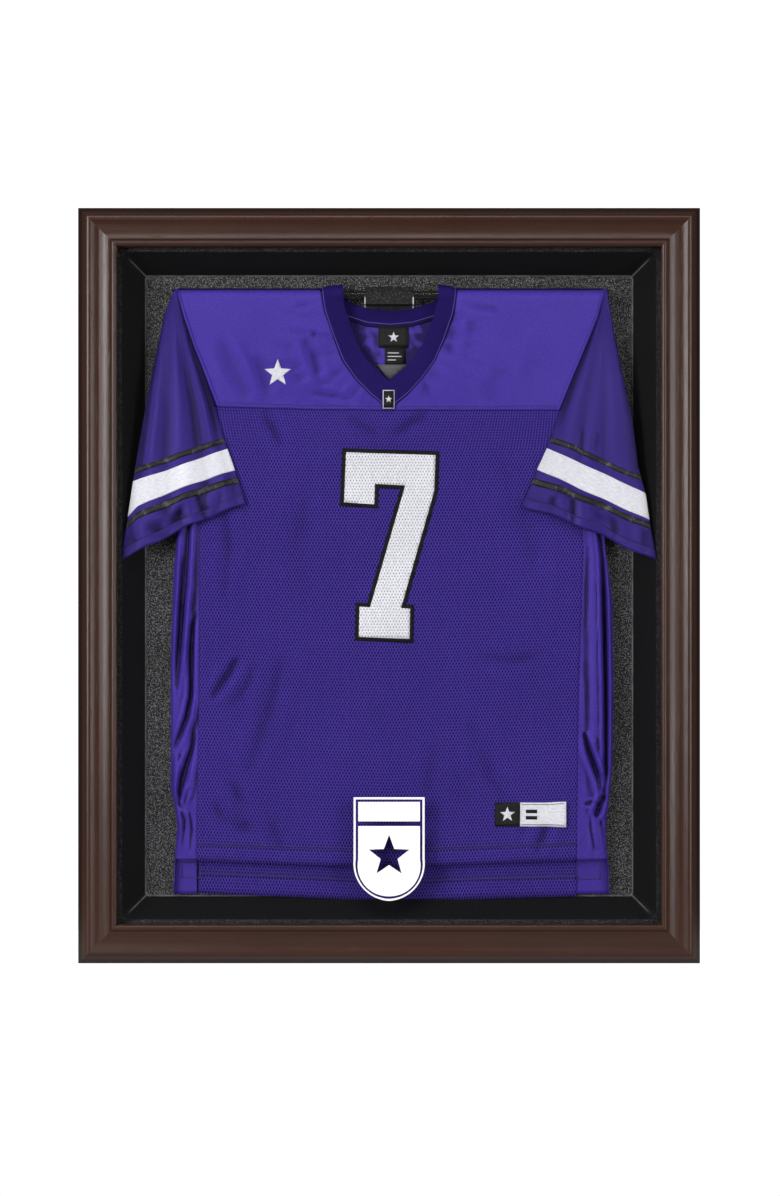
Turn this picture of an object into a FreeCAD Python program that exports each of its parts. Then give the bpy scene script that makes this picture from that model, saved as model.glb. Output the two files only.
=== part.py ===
"""Wall-hung display case for a sports jersey.

A mitred wooden door frame holds a clear acrylic front and swings on two butt hinges.
Behind it a shallow wooden box carries a thermoformed black tray with sloping walls.
The jersey hangs on a clear rod that drops into a hook at the top of the tray.

Frame: +Z up, the front looks along -Y, the wall is the plane y = 0, and the origin is
the middle of the case's back. Millimetres.
"""
import FreeCAD
import Part
import math
import os

V = FreeCAD.Vector

# ---- driving dimensions ----
frame_width = 876.0        # outside of the door frame
frame_height = 1064.0
case_depth = 76.0          # wall to the highest point of the moulding
moulding_width = 56.0
moulding_depth = 25.0
overhang = 20.0            # how far the door frame stands out past the box

rail_thickness = 16.0      # box rails
flange_thickness = 2.5
seal_thickness = 1.7
seal_width = 5.0
closing_gap = 0.3          # seal to door when shut

sheet_thickness = 3.0      # acrylic
rabbet_depth = 10.0
rabbet_width = 6.0
sheet_play = 1.0           # acrylic edge to rabbet wall

tray_back_width = 693.0    # inside of the tray's flat back
tray_back_height = 883.0
tray_inset = 4.0           # tray mouth inside the sight edge
tray_floor = -8.0          # front face of the tray's flat back
tray_wall = 2.0
mouth_radius = 10.0
back_radius = 6.0
tray_fillet = 3.0

board_thickness = 3.0      # back board
board_lap = 8.0
cleat_height = 34.0        # rail that carries the hanger plates
cleat_depth = 18.0
hanger_spacing = 406.4     # 16 inches, the usual stud spacing

rod_radius = 6.35          # half-inch rod
rod_length = 610.0         # 24 inches
rod_y = -24.0
rod_z = 413.0
hook_width = 70.0
hook_lip = 3.4
hook_play = 0.35

cloth = 2.8                # jersey panels, with their slack
cloth_gap = 0.3

hinge_heights = (-340.0, 340.0)
hinge_length = 50.0
leaf_thickness = 1.2
knuckle_radius = 3.0
pin_radius = 1.5
pin_play = 0.05
latch_heights = (-250.0, 250.0)

# ---- places that follow from them ----
half_w = frame_width / 2
half_h = frame_height / 2
door_back = -(case_depth - moulding_depth)
sight_w = frame_width - 2 * moulding_width
sight_h = frame_height - 2 * moulding_width
box_half_w = half_w - overhang
box_half_h = half_h - overhang
flange_front = door_back + closing_gap + seal_thickness
rail_front = flange_front + flange_thickness
mouth_w = sight_w - 2 * tray_inset
mouth_h = sight_h - 2 * tray_inset
shelf_y = door_back - rabbet_depth             # rabbet shelf, front face of the acrylic
sheet_back = shelf_y + sheet_thickness
cleat_top = box_half_h - rail_thickness
cleat_bottom = cleat_top - cleat_height
hinge_x = -(box_half_w + knuckle_radius + 0.2)
hinge_y = door_back + knuckle_radius + 0.2
latch_x = box_half_w


# ---- small helpers ----
def block(x0, x1, y0, y1, z0, z1):
    """A box between two corners, given in any order."""
    low = V(min(x0, x1), min(y0, y1), min(z0, z1))
    return Part.makeBox(abs(x1 - x0), abs(y1 - y0), abs(z1 - z0), low)


def fused(shapes):
    """One shape from several."""
    first, *rest = shapes
    return first.fuse(rest).removeSplitter() if rest else first


def group(shapes):
    """Separate solids that share a node."""
    return Part.makeCompound(shapes)


def prism(outline, y0, y1):
    """A flat outline in the XZ plane, extruded from y0 to y1."""
    points = [V(x, y0, z) for x, z in outline]
    return Part.Face(Part.makePolygon(points + points[:1])).extrude(V(0, y1 - y0, 0))


def rounded_rectangle(width, height, radius, y):
    """A closed wire in the plane y, centred on the Y axis."""
    w, h, r = width / 2, height / 2, radius
    c = r * (1 - math.sqrt(0.5))
    edges = []
    corners = [(w, h), (-w, h), (-w, -h), (w, -h)]
    for i, (cx, cz) in enumerate(corners):
        sx, sz = math.copysign(1, cx), math.copysign(1, cz)
        along_z, along_x = V(cx, y, cz - sz * r), V(cx - sx * r, y, cz)
        start, end = (along_z, along_x) if i % 2 == 0 else (along_x, along_z)
        nx, nz = corners[(i + 1) % 4]
        tx, tz = math.copysign(1, nx), math.copysign(1, nz)
        following = V(nx - tx * r, y, nz) if i % 2 == 0 else V(nx, y, nz - tz * r)
        edges.append(Part.Arc(start, V(cx - sx * c, y, cz - sz * c), end).toShape())
        edges.append(Part.LineSegment(end, following).toShape())
    return Part.Wire(edges)


def screw(head, towards, length, shank=1.5, head_radius=3.0, head_depth=1.6):
    """A countersunk cross-recess screw. head is the middle of its flat top."""
    towards = V(towards).normalize()
    under = head + towards * head_depth
    body = Part.makeCone(head_radius, shank, head_depth, head, towards)
    shaft = Part.makeCylinder(shank, length - head_depth - 2 * shank, under, towards)
    tip_start = head + towards * (length - 2 * shank)
    tip = Part.makeCone(shank, 0.3, 2 * shank, tip_start, towards)
    return fused([body, shaft, tip])


def recess(head, towards, reach=1.9, width=0.8, depth=0.9):
    """The cross that a screwdriver fits, to cut from a screw's head."""
    towards = V(towards).normalize()
    side = V(0, 0, 1) if abs(towards.z) < 0.5 else V(1, 0, 0)
    other = towards.cross(side)
    bars = []
    for along, across in ((side, other), (other, side)):
        points = [head + along * (a * reach) + across * (b * width / 2)
                  for a, b in ((1, 1), (-1, 1), (-1, -1), (1, -1))]
        bars.append(Part.Face(Part.makePolygon(points + points[:1])).extrude(towards * depth))
    return bars[0].fuse(bars[1])


def screws(places, towards, length, **sizes):
    """Screws at several places, and the plain shapes that their holes are cut with."""
    plain = [screw(V(*p), towards, length, **sizes) for p in places]
    finished = [s.cut(recess(V(*p), towards)) for s, p in zip(plain, places)]
    return finished, plain


def bored(part, plain):
    """A part with the holes that its screws fill."""
    return part.cut(group(plain)) if plain else part


# ---- door frame ----
def moulding_face(place):
    """The moulding's section as a face. place turns (from the outer edge, forward) into a point.

    From the outside in: a plain side, a steep bevel, a round bead, a wide scoop,
    a narrow lip, a groove, and a small bead at the sight edge over the rabbet."""
    bead_t, bead_h, bead_r = 16.5, 18.0, 7.0
    side_height = 9.0

    def on_bead(degrees):
        a = math.radians(degrees)
        return bead_t + bead_r * math.sin(a), bead_h + bead_r * math.cos(a)

    scoop_t, lip_t = 30.6, 44.5
    outer_scoop, inner_scoop = 23.0, 30.0
    start = on_bead(28)
    bottom_h = start[1] - outer_scoop * (1 - math.cos(math.radians(28)))

    def on_scoop(t, radius):
        return t, bottom_h + radius - math.sqrt(radius ** 2 - (t - scoop_t) ** 2)

    lip = on_scoop(lip_t, inner_scoop)
    flat_end = (46.4, lip[1])
    groove = (47.5, lip[1] - 1.6)
    inner_bead = (48.4, lip[1] - 1.2)
    sight = (moulding_width, lip[1] - 5.2)
    back_lip = moulding_width - rabbet_width
    steps = [
        ("line", (0, 0), (0, side_height)),
        ("line", (0, side_height), on_bead(-52)),
        ("arc", on_bead(-52), on_bead(-12), start),
        ("arc", start, on_scoop(25.0, outer_scoop), on_scoop(scoop_t, outer_scoop)),
        ("arc", on_scoop(scoop_t, outer_scoop), on_scoop(38.0, inner_scoop), lip),
        ("line", lip, flat_end),
        ("line", flat_end, groove),
        ("line", groove, inner_bead),
        ("arc", inner_bead, (52.6, lip[1] - 0.2), sight),
        ("line", sight, (moulding_width, rabbet_depth)),
        ("line", (moulding_width, rabbet_depth), (back_lip, rabbet_depth)),
        ("line", (back_lip, rabbet_depth), (back_lip, 0)),
        ("line", (back_lip, 0), (0, 0)),
    ]
    edges = []
    for kind, *points in steps:
        made = [place(*p) for p in points]
        curve = Part.Arc(*made) if kind == "arc" else Part.LineSegment(*made)
        edges.append(curve.toShape())
    return Part.Face(Part.Wire(edges))


def door_frame():
    """The four mitred lengths of moulding."""
    m = moulding_width
    w, h = half_w, half_h
    inner_w, inner_h = w - m, h - m
    sides = {
        "door_rail_top": (
            moulding_face(lambda t, f: V(-w, door_back - f, h - t)), V(2 * w, 0, 0),
            [(-w, h), (w, h), (inner_w, inner_h), (-inner_w, inner_h)]),
        "door_rail_bottom": (
            moulding_face(lambda t, f: V(-w, door_back - f, -h + t)), V(2 * w, 0, 0),
            [(-w, -h), (w, -h), (inner_w, -inner_h), (-inner_w, -inner_h)]),
        "door_stile_left": (
            moulding_face(lambda t, f: V(-w + t, door_back - f, -h)), V(0, 0, 2 * h),
            [(-w, -h), (-inner_w, -inner_h), (-inner_w, inner_h), (-w, h)]),
        "door_stile_right": (
            moulding_face(lambda t, f: V(w - t, door_back - f, -h)), V(0, 0, 2 * h),
            [(w, -h), (inner_w, -inner_h), (inner_w, inner_h), (w, h)]),
    }
    made = {}
    for name, (face, run, mitre) in sides.items():
        made[name] = face.extrude(run).common(prism(mitre, door_back, -case_depth))
    return made


def v_nails():
    """Steel angle nails across each mitre, driven flush into the back of the frame."""
    leg, gauge, depth = 9.0, 0.6, 8.0
    nails = []
    for sx in (-1, 1):
        for sz in (-1, 1):
            for along in (17.0, 34.0):
                x, z = half_w - along, half_h - along
                outline = [(x, z), (x + leg / 2, z - leg / 2), (x + leg / 2 - gauge, z - leg / 2 - gauge),
                           (x - 1.2 * gauge, z - 1.2 * gauge),
                           (x - leg / 2 - gauge, z + leg / 2 - gauge), (x - leg / 2, z + leg / 2)]
                nails.append(prism([(sx * a, sz * b) for a, b in outline], door_back - 0.1, door_back - depth))
    return nails


def acrylic_front():
    w = sight_w / 2 + rabbet_width - sheet_play
    h = sight_h / 2 + rabbet_width - sheet_play
    return block(-w, w, shelf_y, sheet_back, -h, h)


def glazing_points():
    """Flat steel points, pushed into the rabbet wall behind the acrylic."""
    gauge, reach, bite, width = 0.8, 4.0, 5.0, 9.0
    y0 = sheet_back + 0.1
    w, h = sight_w / 2 + rabbet_width, sight_h / 2 + rabbet_width
    points = []
    for z in (-390, -195, 0, 195, 390):
        for s in (-1, 1):
            outline = [(s * (w + bite), z), (s * (w - reach), z + width / 2), (s * (w - reach), z - width / 2)]
            points.append(prism(outline, y0, y0 + gauge))
    for x in (-300, -100, 100, 300):
        for s in (-1, 1):
            outline = [(x, s * (h + bite)), (x + width / 2, s * (h - reach)), (x - width / 2, s * (h - reach))]
            points.append(prism(outline, y0, y0 + gauge))
    return points


def emblem_print():
    """A plain printed shield on the front of the acrylic: a band, a field and a bar."""
    middle_z, width, height, ink = -371.0, 100.0, 146.0, 0.15

    def shield(inset, top_cut=0.0):
        w, h = width / 2 - inset, height / 2 - inset
        top, waist, foot = middle_z + h - top_cut, middle_z - 0.1 * height, middle_z - h * 1.0
        side = V(w * 0.86, shelf_y, middle_z - 0.32 * height)
        edges = [
            Part.LineSegment(V(-w, shelf_y, top), V(w, shelf_y, top)).toShape(),
            Part.LineSegment(V(w, shelf_y, top), V(w, shelf_y, waist)).toShape(),
            Part.Arc(V(w, shelf_y, waist), side, V(0, shelf_y, foot)).toShape(),
            Part.Arc(V(0, shelf_y, foot), V(-side.x, side.y, side.z), V(-w, shelf_y, waist)).toShape(),
            Part.LineSegment(V(-w, shelf_y, waist), V(-w, shelf_y, top)).toShape(),
        ]
        return Part.Face(Part.Wire(edges)).extrude(V(0, -ink, 0))

    band = shield(0).cut(shield(3.0))
    field = shield(6.5, top_cut=34.0)
    bar = block(-width / 2 + 6.5, width / 2 - 6.5, shelf_y, shelf_y - ink,
                middle_z + height / 2 - 34.0, middle_z + height / 2 - 6.5)
    points = []
    for i in range(10):
        radius = 30.0 if i % 2 == 0 else 12.5
        angle = math.radians(90 + 36 * i)
        points.append((radius * math.cos(angle), middle_z - 10 + radius * math.sin(angle)))
    star = prism(points, shelf_y + 1, shelf_y - 1)
    return [band, field.cut(star), bar]


# ---- box ----
def box_rails():
    """Four butt-jointed rails, rebated at the back for the board."""
    w, h, t = box_half_w, box_half_h, rail_thickness
    pocket = block(-w + t - board_lap, w - t + board_lap, 0, -board_thickness,
                   -h + t - board_lap, cleat_bottom + board_lap)
    return {
        "box_rail_top": block(-w, w, 0, rail_front, h - t, h),
        "box_rail_bottom": block(-w, w, 0, rail_front, -h, -h + t).cut(pocket),
        "box_rail_left": block(-w, -w + t, 0, rail_front, -h + t, h - t).cut(pocket),
        "box_rail_right": block(w - t, w, 0, rail_front, -h + t, h - t).cut(pocket),
        "hanging_rail": block(-w + t, w - t, 0, -cleat_depth, cleat_bottom, cleat_top).cut(pocket),
        "back_board": block(-w + t - board_lap + 0.5, w - t + board_lap - 0.5, 0, -board_thickness,
                            -h + t - board_lap + 0.5, cleat_bottom + board_lap - 0.5),
    }


def back_tray():
    """The thermoformed tray: a flat flange, four sloping walls and a flat back."""
    w, h = box_half_w - 1, box_half_h - 1
    grow = 1.0
    # The walls run on past the flange, so that each loft cuts it cleanly.
    hollow = Part.makeLoft([
        rounded_rectangle(mouth_w, mouth_h, mouth_radius, flange_front),
        rounded_rectangle(tray_back_width, tray_back_height, back_radius, tray_floor)], True, True)
    floor_edges = [e for e in hollow.Edges if all(abs(v.Y - tray_floor) < 1e-6 for v in e.Vertexes)]
    hollow = hollow.makeFillet(tray_fillet, floor_edges)
    outside = Part.makeLoft([
        rounded_rectangle(mouth_w + 2 * grow, mouth_h + 2 * grow, mouth_radius + grow, flange_front),
        rounded_rectangle(tray_back_width + 2 * grow, tray_back_height + 2 * grow,
                          back_radius + grow, tray_floor + tray_wall)], True, True)
    flange = block(-w, w, flange_front, rail_front, -h, h)
    return flange.fuse(outside).cut(hollow).removeSplitter()


def dust_seal():
    """A felt strip round the tray's mouth."""
    w, h = mouth_w / 2 + 9.0, mouth_h / 2 + 9.0
    front = flange_front - seal_thickness
    outer = block(-w - seal_width, w + seal_width, flange_front, front, -h - seal_width, h + seal_width)
    return outer.cut(block(-w, w, flange_front, front, -h, h))


def rod_hook():
    """The moulded hook: a back plate, a floor under the rod, and a tall front lip with round corners."""
    back_y = tray_floor
    channel_back = rod_y + rod_radius + hook_play
    channel_front = rod_y - rod_radius - hook_play
    lip_y = channel_front - hook_lip
    floor_z = rod_z - rod_radius
    under, top = floor_z - 7.0, rod_z + rod_radius - 1.5
    half = hook_width / 2
    solid = block(-half, half, back_y, lip_y, under, top)
    cradle = block(-half - 1, half + 1, channel_back, channel_front, rod_z, top + 1)
    seat = Part.makeCylinder(rod_radius + hook_play, hook_width + 2, V(-half - 1, rod_y, rod_z + hook_play), V(1, 0, 0))
    behind = block(-half - 1, half + 1, back_y - 3.0, channel_back + 2.6, under - 1, top + 1)
    web = block(-9.0, 9.0, back_y - 3.0, channel_back + 2.6, under, top)
    plate = block(-half, half, back_y, back_y - 3.0, rod_z - 32, rod_z + 14)
    shape = solid.cut(behind).fuse(web).cut(cradle).cut(seat).fuse(plate).removeSplitter()
    r = 7.0
    for s in (-1, 1):
        corner = block(s * (half - r), s * (half + 1), channel_front + 0.1, lip_y - 1, top - r, top + 1)
        corner = corner.cut(Part.makeCylinder(r, 30, V(s * (half - r), channel_front + 10, top - r), V(0, -1, 0)))
        shape = shape.cut(corner)
    return shape


def keyhole_plates():
    """Steel hanger plates let flush into the hanging rail, and the pockets cut for them."""
    gauge, half_x, half_z = 1.5, 21.0, 10.0
    middle_z = cleat_bottom + board_lap + half_z + 3.0
    hole_z = middle_z - 3.5
    plates, pockets, places = [], [], []
    for s in (-1, 1):
        x = s * hanger_spacing / 2
        plate = block(x - half_x, x + half_x, 0, -gauge, middle_z - half_z, middle_z + half_z)
        entry = Part.makeCylinder(4.5, gauge + 2, V(x, 1, hole_z), V(0, -1, 0))
        slot = fused([block(x - 2.2, x + 2.2, 1, -gauge - 1, hole_z, hole_z + 8.5),
                      Part.makeCylinder(2.2, gauge + 2, V(x, 1, hole_z + 8.5), V(0, -1, 0))])
        plates.append(plate.cut(entry).cut(slot))
        pockets += [plate, block(x - 7, x + 7, 0, -9.5, hole_z - 7, hole_z + 13)]
        places += [(x - 15, 0, middle_z), (x + 15, 0, middle_z)]
    return plates, pockets, places


# ---- hinges and latches ----
def hinge_parts():
    """Case leaves, door leaves and pins of the two butt hinges, with their screw places."""
    case_leaves, door_leaves, pins, case_places, door_places = [], [], [], [], []
    third = hinge_length / 3
    play = 0.15
    for z in hinge_heights:
        low = z - hinge_length / 2

        def knuckle(start, length):
            return Part.makeCylinder(knuckle_radius, length, V(hinge_x, hinge_y, start))

        bore = Part.makeCylinder(pin_radius + pin_play, hinge_length, V(hinge_x, hinge_y, low))
        ends = [knuckle(low, third - play), knuckle(low + 2 * third + play, third - play)]
        leaf = block(-box_half_w, -box_half_w - leaf_thickness, hinge_y, hinge_y + 20, low, low + hinge_length)
        gap = block(-box_half_w + 1, hinge_x - 5, hinge_y - 5, hinge_y + knuckle_radius + 0.6,
                    low + third - play, low + 2 * third + play)
        case_leaves.append(fused(ends + [leaf]).cut(gap).cut(bore))
        middle = knuckle(low + third + play, third - 2 * play)
        wing = block(hinge_x, -half_w + 1.5, door_back, door_back + leaf_thickness, low, low + hinge_length)
        relief = [block(hinge_x - knuckle_radius - 0.4, hinge_x + 1, door_back - 1, hinge_y + 5, a, b)
                  for a, b in ((low - 1, low + third + play), (low + 2 * third - play, low + hinge_length + 1))]
        door_leaves.append(fused([middle, wing]).cut(group(relief)).cut(bore))
        shaft = Part.makeCylinder(pin_radius, hinge_length + 2, V(hinge_x, hinge_y, low - 1))
        cap = Part.makeCylinder(2.3, 1.0, V(hinge_x, hinge_y, low + hinge_length))
        pins.append(fused([shaft, cap]))
        for dz in (-17, 0, 17):
            case_places.append((-box_half_w - leaf_thickness, hinge_y + 13, z + dz))
            door_places.append((-half_w + 6.5, door_back + leaf_thickness, z + dz))
    return case_leaves, door_leaves, pins, case_places, door_places


def latch_strikes():
    """Angle brackets on the back of the door, each with a stud that a hook drops over."""
    brackets, places = [], []
    x0 = latch_x + 5.6
    for z in latch_heights:
        foot = block(x0, half_w - 2, door_back, door_back + leaf_thickness, z - 12, z + 12)
        leg = block(x0, x0 + leaf_thickness, door_back, door_back + 14, z - 7, z + 7)
        stud = Part.makeCylinder(2.0, x0 - latch_x - 1.0, V(latch_x + 1.0, door_back + 9.0, z), V(1, 0, 0))
        brackets.append(fused([foot, leg, stud]))
        places += [(x0 + 6.6, door_back + leaf_thickness, z - 8.0), (x0 + 6.6, door_back + leaf_thickness, z + 8.0)]
    return brackets, places


def latch_hook(z):
    """A flat hook that turns on the box's side and drops over the strike's stud."""
    x0, gauge = latch_x + 1.6, 1.6
    stud_y, pivot_y = door_back + 9.0, door_back + 30.0

    def plate(y0, y1, z0, z1):
        return block(x0, x0 + gauge, y0, y1, z + z0, z + z1)

    arm = plate(stud_y - 5.5, pivot_y, -3.6, 5.6)
    boss = Part.makeCylinder(5.6, gauge, V(x0, pivot_y, z), V(1, 0, 0))
    # The notch widens towards the pivot, because the stud leaves it on an arc.
    sides = [V(x0 - 1, stud_y + a, z + b) for a, b in ((-2.15, 0), (2.15, 0), (3.5, -6), (-2.15, -6))]
    mouth = Part.Face(Part.makePolygon(sides + sides[:1])).extrude(V(gauge + 2, 0, 0))
    notch = Part.makeCylinder(2.15, gauge + 2, V(x0 - 1, stud_y, z), V(1, 0, 0)).fuse(mouth)
    tab = block(x0, x0 + 8.0, pivot_y - 2.5, pivot_y + 5.0, z + 12.4, z + 14.0)
    neck = plate(pivot_y - 2.5, pivot_y + 5.0, 3.0, 14.0)
    hole = Part.makeCylinder(2.05, gauge + 2, V(x0 - 1, pivot_y, z), V(1, 0, 0))
    return fused([arm, boss, neck, tab]).cut(notch).cut(hole)


def latch_pivots():
    """Shouldered screws that the hooks turn on, with a spacer washer under each."""
    made, plain = [], []
    y = door_back + 30.0
    for z in latch_heights:
        washer = Part.makeCylinder(4.0, 1.5, V(latch_x, y, z), V(1, 0, 0))
        shoulder = Part.makeCylinder(2.0, 3.5, V(latch_x, y, z), V(1, 0, 0))
        head = Part.makeCylinder(4.2, 1.6, V(latch_x + 3.4, y, z), V(1, 0, 0))
        thread = Part.makeCylinder(1.5, 13.0, V(latch_x, y, z), V(-1, 0, 0))
        whole = fused([washer, shoulder, head, thread])
        made.append(whole.cut(recess(V(latch_x + 5.0, y, z), V(-1, 0, 0))))
        plain.append(thread)
    return made, plain


# ---- rod and jersey ----
def hanging_rod():
    return Part.makeCylinder(rod_radius, rod_length, V(-rod_length / 2, rod_y, rod_z), V(1, 0, 0))


jersey_top = rod_z + rod_radius + cloth_gap
shoulder_x = rod_length / 2 + 1.5
neck_x = 64.0
front_hem_z = -394.0
back_hem_z = -440.0
yoke_z = 250.0
hem_half = 309.0


def shoulder_wrap(x0, x1):
    """Cloth over the rod between two places, open downwards."""
    r = rod_radius + cloth_gap
    length = x1 - x0
    tube = Part.makeCylinder(r + cloth, length, V(x0, rod_y, rod_z), V(1, 0, 0))
    tube = tube.cut(Part.makeCylinder(r, length, V(x0, rod_y, rod_z), V(1, 0, 0)))
    return tube.common(block(x0, x1, rod_y - 20, rod_y + 20, rod_z, rod_z + 20))


def jersey_front():
    """The front: a V neck, straight sides, and the cloth that goes over the rod."""
    outline = [(-shoulder_x, rod_z), (-neck_x, rod_z), (-40, 350), (0, 292), (40, 350), (neck_x, rod_z),
               (shoulder_x, rod_z), (hem_half - 4, 60), (hem_half, front_hem_z), (-hem_half, front_hem_z),
               (-hem_half + 4, 60)]
    y = rod_y - rod_radius - cloth_gap
    return fused([prism(outline, y, y - cloth), shoulder_wrap(-shoulder_x, -neck_x), shoulder_wrap(neck_x, shoulder_x)])


def jersey_back():
    """The back, longer than the front, with a shallow scoop at the neck."""
    outline = [(-shoulder_x, rod_z), (-neck_x, rod_z), (-46, 383), (46, 383), (neck_x, rod_z),
               (shoulder_x, rod_z), (hem_half - 4, 60), (hem_half, back_hem_z), (-hem_half, back_hem_z),
               (-hem_half + 4, 60)]
    y = rod_y + rod_radius + cloth_gap
    return prism(outline, y, y + cloth)


def sleeve(side):
    """A sleeve hanging from the rod's end across the front, its cuff out over the tray's sloping wall."""
    back_top, front_top = -33.6, -37.5
    corners = [  # across, back, front, height: top inner, top outer, cuff outer, cuff inner
        (262.0, back_top, front_top, 408.0),
        (306.0, back_top, front_top, 418.0),
        (372.0, -46.5, -55.5, 36.0),
        (203.0, back_top, -46.0, 117.0),
    ]
    back = [V(side * x, yb, z) for x, yb, yf, z in corners]
    front = [V(side * x, yf, z) for x, yb, yf, z in corners]
    faces = [(back[0], back[1], back[2]), (back[0], back[2], back[3]),
             (front[0], front[2], front[1]), (front[0], front[3], front[2])]
    for i in range(4):
        j = (i + 1) % 4
        faces += [(back[i], front[i], front[j]), (back[i], front[j], back[j])]
    shell = Part.Shell([Part.Face(Part.makePolygon(list(f) + [f[0]])) for f in faces])
    solid = Part.Solid(shell)
    return solid if solid.Volume > 0 else solid.reversed()


def jersey_number():
    """The block numeral sewn on the chest."""
    outline = [(-67, 193), (73, 190), (73, 148), (14, -70), (34, -70), (34, -98), (-44, -95), (-44, -66),
               (-24, -66), (28, 122), (-14, 122), (-14, 96), (-69, 98)]
    y = rod_y - rod_radius - cloth_gap - cloth
    return prism(outline, y, y - 0.8)


def jersey_size_tag():
    """The woven patch near the hem."""
    y = rod_y - rod_radius - cloth_gap - cloth
    return block(150, 250, y, y - 0.8, -341, -303)


# ---- the whole case ----
def whole_case():
    nodes = dict(door_frame())
    nails = v_nails()
    points = glazing_points()
    for name in list(nodes):
        nodes[name] = nodes[name].cut(group(nails)).cut(group(points))
    nodes["v_nails"] = group(nails)
    nodes["glazing_points"] = group(points)
    nodes["acrylic_front"] = acrylic_front()
    nodes["emblem_print"] = group(emblem_print())

    nodes.update(box_rails())
    nodes["back_tray"] = back_tray()
    nodes["dust_seal"] = dust_seal()
    nodes["rod_hook"] = rod_hook()

    plates, pockets, plate_places = keyhole_plates()
    nodes["hanging_rail"] = nodes["hanging_rail"].cut(group(pockets))
    plate_screws, plain = screws(plate_places, V(0, -1, 0), 12, head_radius=2.6, head_depth=1.3)
    nodes["keyhole_plates"] = group([bored(p, plain) for p in plates])
    nodes["keyhole_screws"] = group(plate_screws)
    nodes["hanging_rail"] = bored(nodes["hanging_rail"], plain)

    w, h, t = box_half_w, box_half_h, rail_thickness
    corner_places = [[(sx * (w - t / 2), y, sz * h) for sx in (-1, 1) for y in (-14, -34)] for sz in (1, -1)]
    corner_screws = []
    for places, down, rail in zip(corner_places, (V(0, 0, -1), V(0, 0, 1)), ("box_rail_top", "box_rail_bottom")):
        made, plain = screws(places, down, 38, shank=1.8, head_radius=3.6)
        corner_screws += made
        for name in (rail, "box_rail_left", "box_rail_right"):
            nodes[name] = bored(nodes[name], plain)
    nodes["corner_screws"] = group(corner_screws)

    rail_places = [(s * w, -9, cleat_bottom + cleat_height - 10) for s in (-1, 1)]
    cleat_screws = []
    for place, s in zip(rail_places, (-1, 1)):
        made, plain = screws([place], V(-s, 0, 0), 38, shank=1.8, head_radius=3.6)
        cleat_screws += made
        for name in ("hanging_rail", "box_rail_left", "box_rail_right"):
            nodes[name] = bored(nodes[name], plain)
    nodes["hanging_rail_screws"] = group(cleat_screws)

    edge_x, low_z, high_z = w - t + board_lap / 2, -h + t - board_lap / 2, cleat_bottom + board_lap / 2
    board_places = [(s * edge_x, 0, z) for s in (-1, 1) for z in (-380, -130, 130, 380)]
    board_places += [(x, 0, z) for x in (-280, 0, 280) for z in (low_z, high_z)]
    board_screws, plain = screws(board_places, V(0, -1, 0), 14, head_radius=2.6, head_depth=1.3)
    nodes["back_board_screws"] = group(board_screws)
    for name in ("back_board", "box_rail_left", "box_rail_right", "box_rail_bottom", "hanging_rail"):
        nodes[name] = bored(nodes[name], plain)

    flange_places = [(s * (w - t / 2), flange_front, z) for s in (-1, 1) for z in (-420, -140, 140, 420)]
    flange_places += [(x, flange_front, s * (h - t / 2)) for x in (-300, 0, 300) for s in (-1, 1)]
    flange_screws, plain = screws(flange_places, V(0, 1, 0), 14, head_radius=2.6, head_depth=1.3)
    nodes["tray_screws"] = group(flange_screws)
    for name in ("back_tray", "box_rail_left", "box_rail_right", "box_rail_top", "box_rail_bottom"):
        nodes[name] = bored(nodes[name], plain)

    hook_places = [(s * 22, tray_floor - 3.0, rod_z - 24) for s in (-1, 1)]
    hook_screws, plain = screws(hook_places, V(0, 1, 0), 10, shank=1.3, head_radius=2.4, head_depth=1.2)
    nodes["rod_hook_screws"] = group(hook_screws)
    for name in ("rod_hook", "back_tray", "back_board"):
        nodes[name] = bored(nodes[name], plain)

    case_leaves, door_leaves, pins, case_places, door_places = hinge_parts()
    made, plain = screws(case_places, V(1, 0, 0), 12, head_radius=2.4, head_depth=1.1)
    nodes["hinge_case_leaves"] = group([bored(leaf, plain) for leaf in case_leaves])
    nodes["hinge_case_screws"] = group(made)
    nodes["box_rail_left"] = bored(nodes["box_rail_left"], plain)
    made, plain = screws(door_places, V(0, -1, 0), 9, shank=1.3, head_radius=2.4, head_depth=1.1)
    nodes["hinge_door_leaves"] = group([bored(leaf, plain) for leaf in door_leaves])
    nodes["hinge_door_screws"] = group(made)
    nodes["door_stile_left"] = bored(nodes["door_stile_left"], plain)
    nodes["hinge_pins"] = group(pins)

    brackets, places = latch_strikes()
    made, plain = screws(places, V(0, -1, 0), 9, shank=1.3, head_radius=2.4, head_depth=1.1)
    nodes["latch_strikes"] = group([bored(b, plain) for b in brackets])
    nodes["latch_strike_screws"] = group(made)
    nodes["door_stile_right"] = bored(nodes["door_stile_right"], plain)
    nodes["lower_latch_hook"], nodes["upper_latch_hook"] = [latch_hook(z) for z in latch_heights]
    made, plain = latch_pivots()
    nodes["latch_pivots"] = group(made)
    nodes["box_rail_right"] = bored(nodes["box_rail_right"], plain)

    nodes["hanging_rod"] = hanging_rod()
    nodes["jersey_front"] = jersey_front()
    nodes["jersey_back"] = jersey_back()
    nodes["jersey_sleeve_left"] = sleeve(-1)
    nodes["jersey_sleeve_right"] = sleeve(1)
    nodes["jersey_number"] = jersey_number()
    nodes["jersey_size_tag"] = jersey_size_tag()
    return nodes


os.makedirs("parts", exist_ok=True)
for node, shape in whole_case().items():
    if not shape.isValid():
        print("not valid:", node)
    print(node, len(shape.Solids), "solids", round(shape.Volume / 1000, 2), "cm3")
    shape.exportStep(f"parts/{node}.step")
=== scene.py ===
import bpy, bmesh, math
import numpy as np
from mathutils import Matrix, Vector, noise


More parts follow.
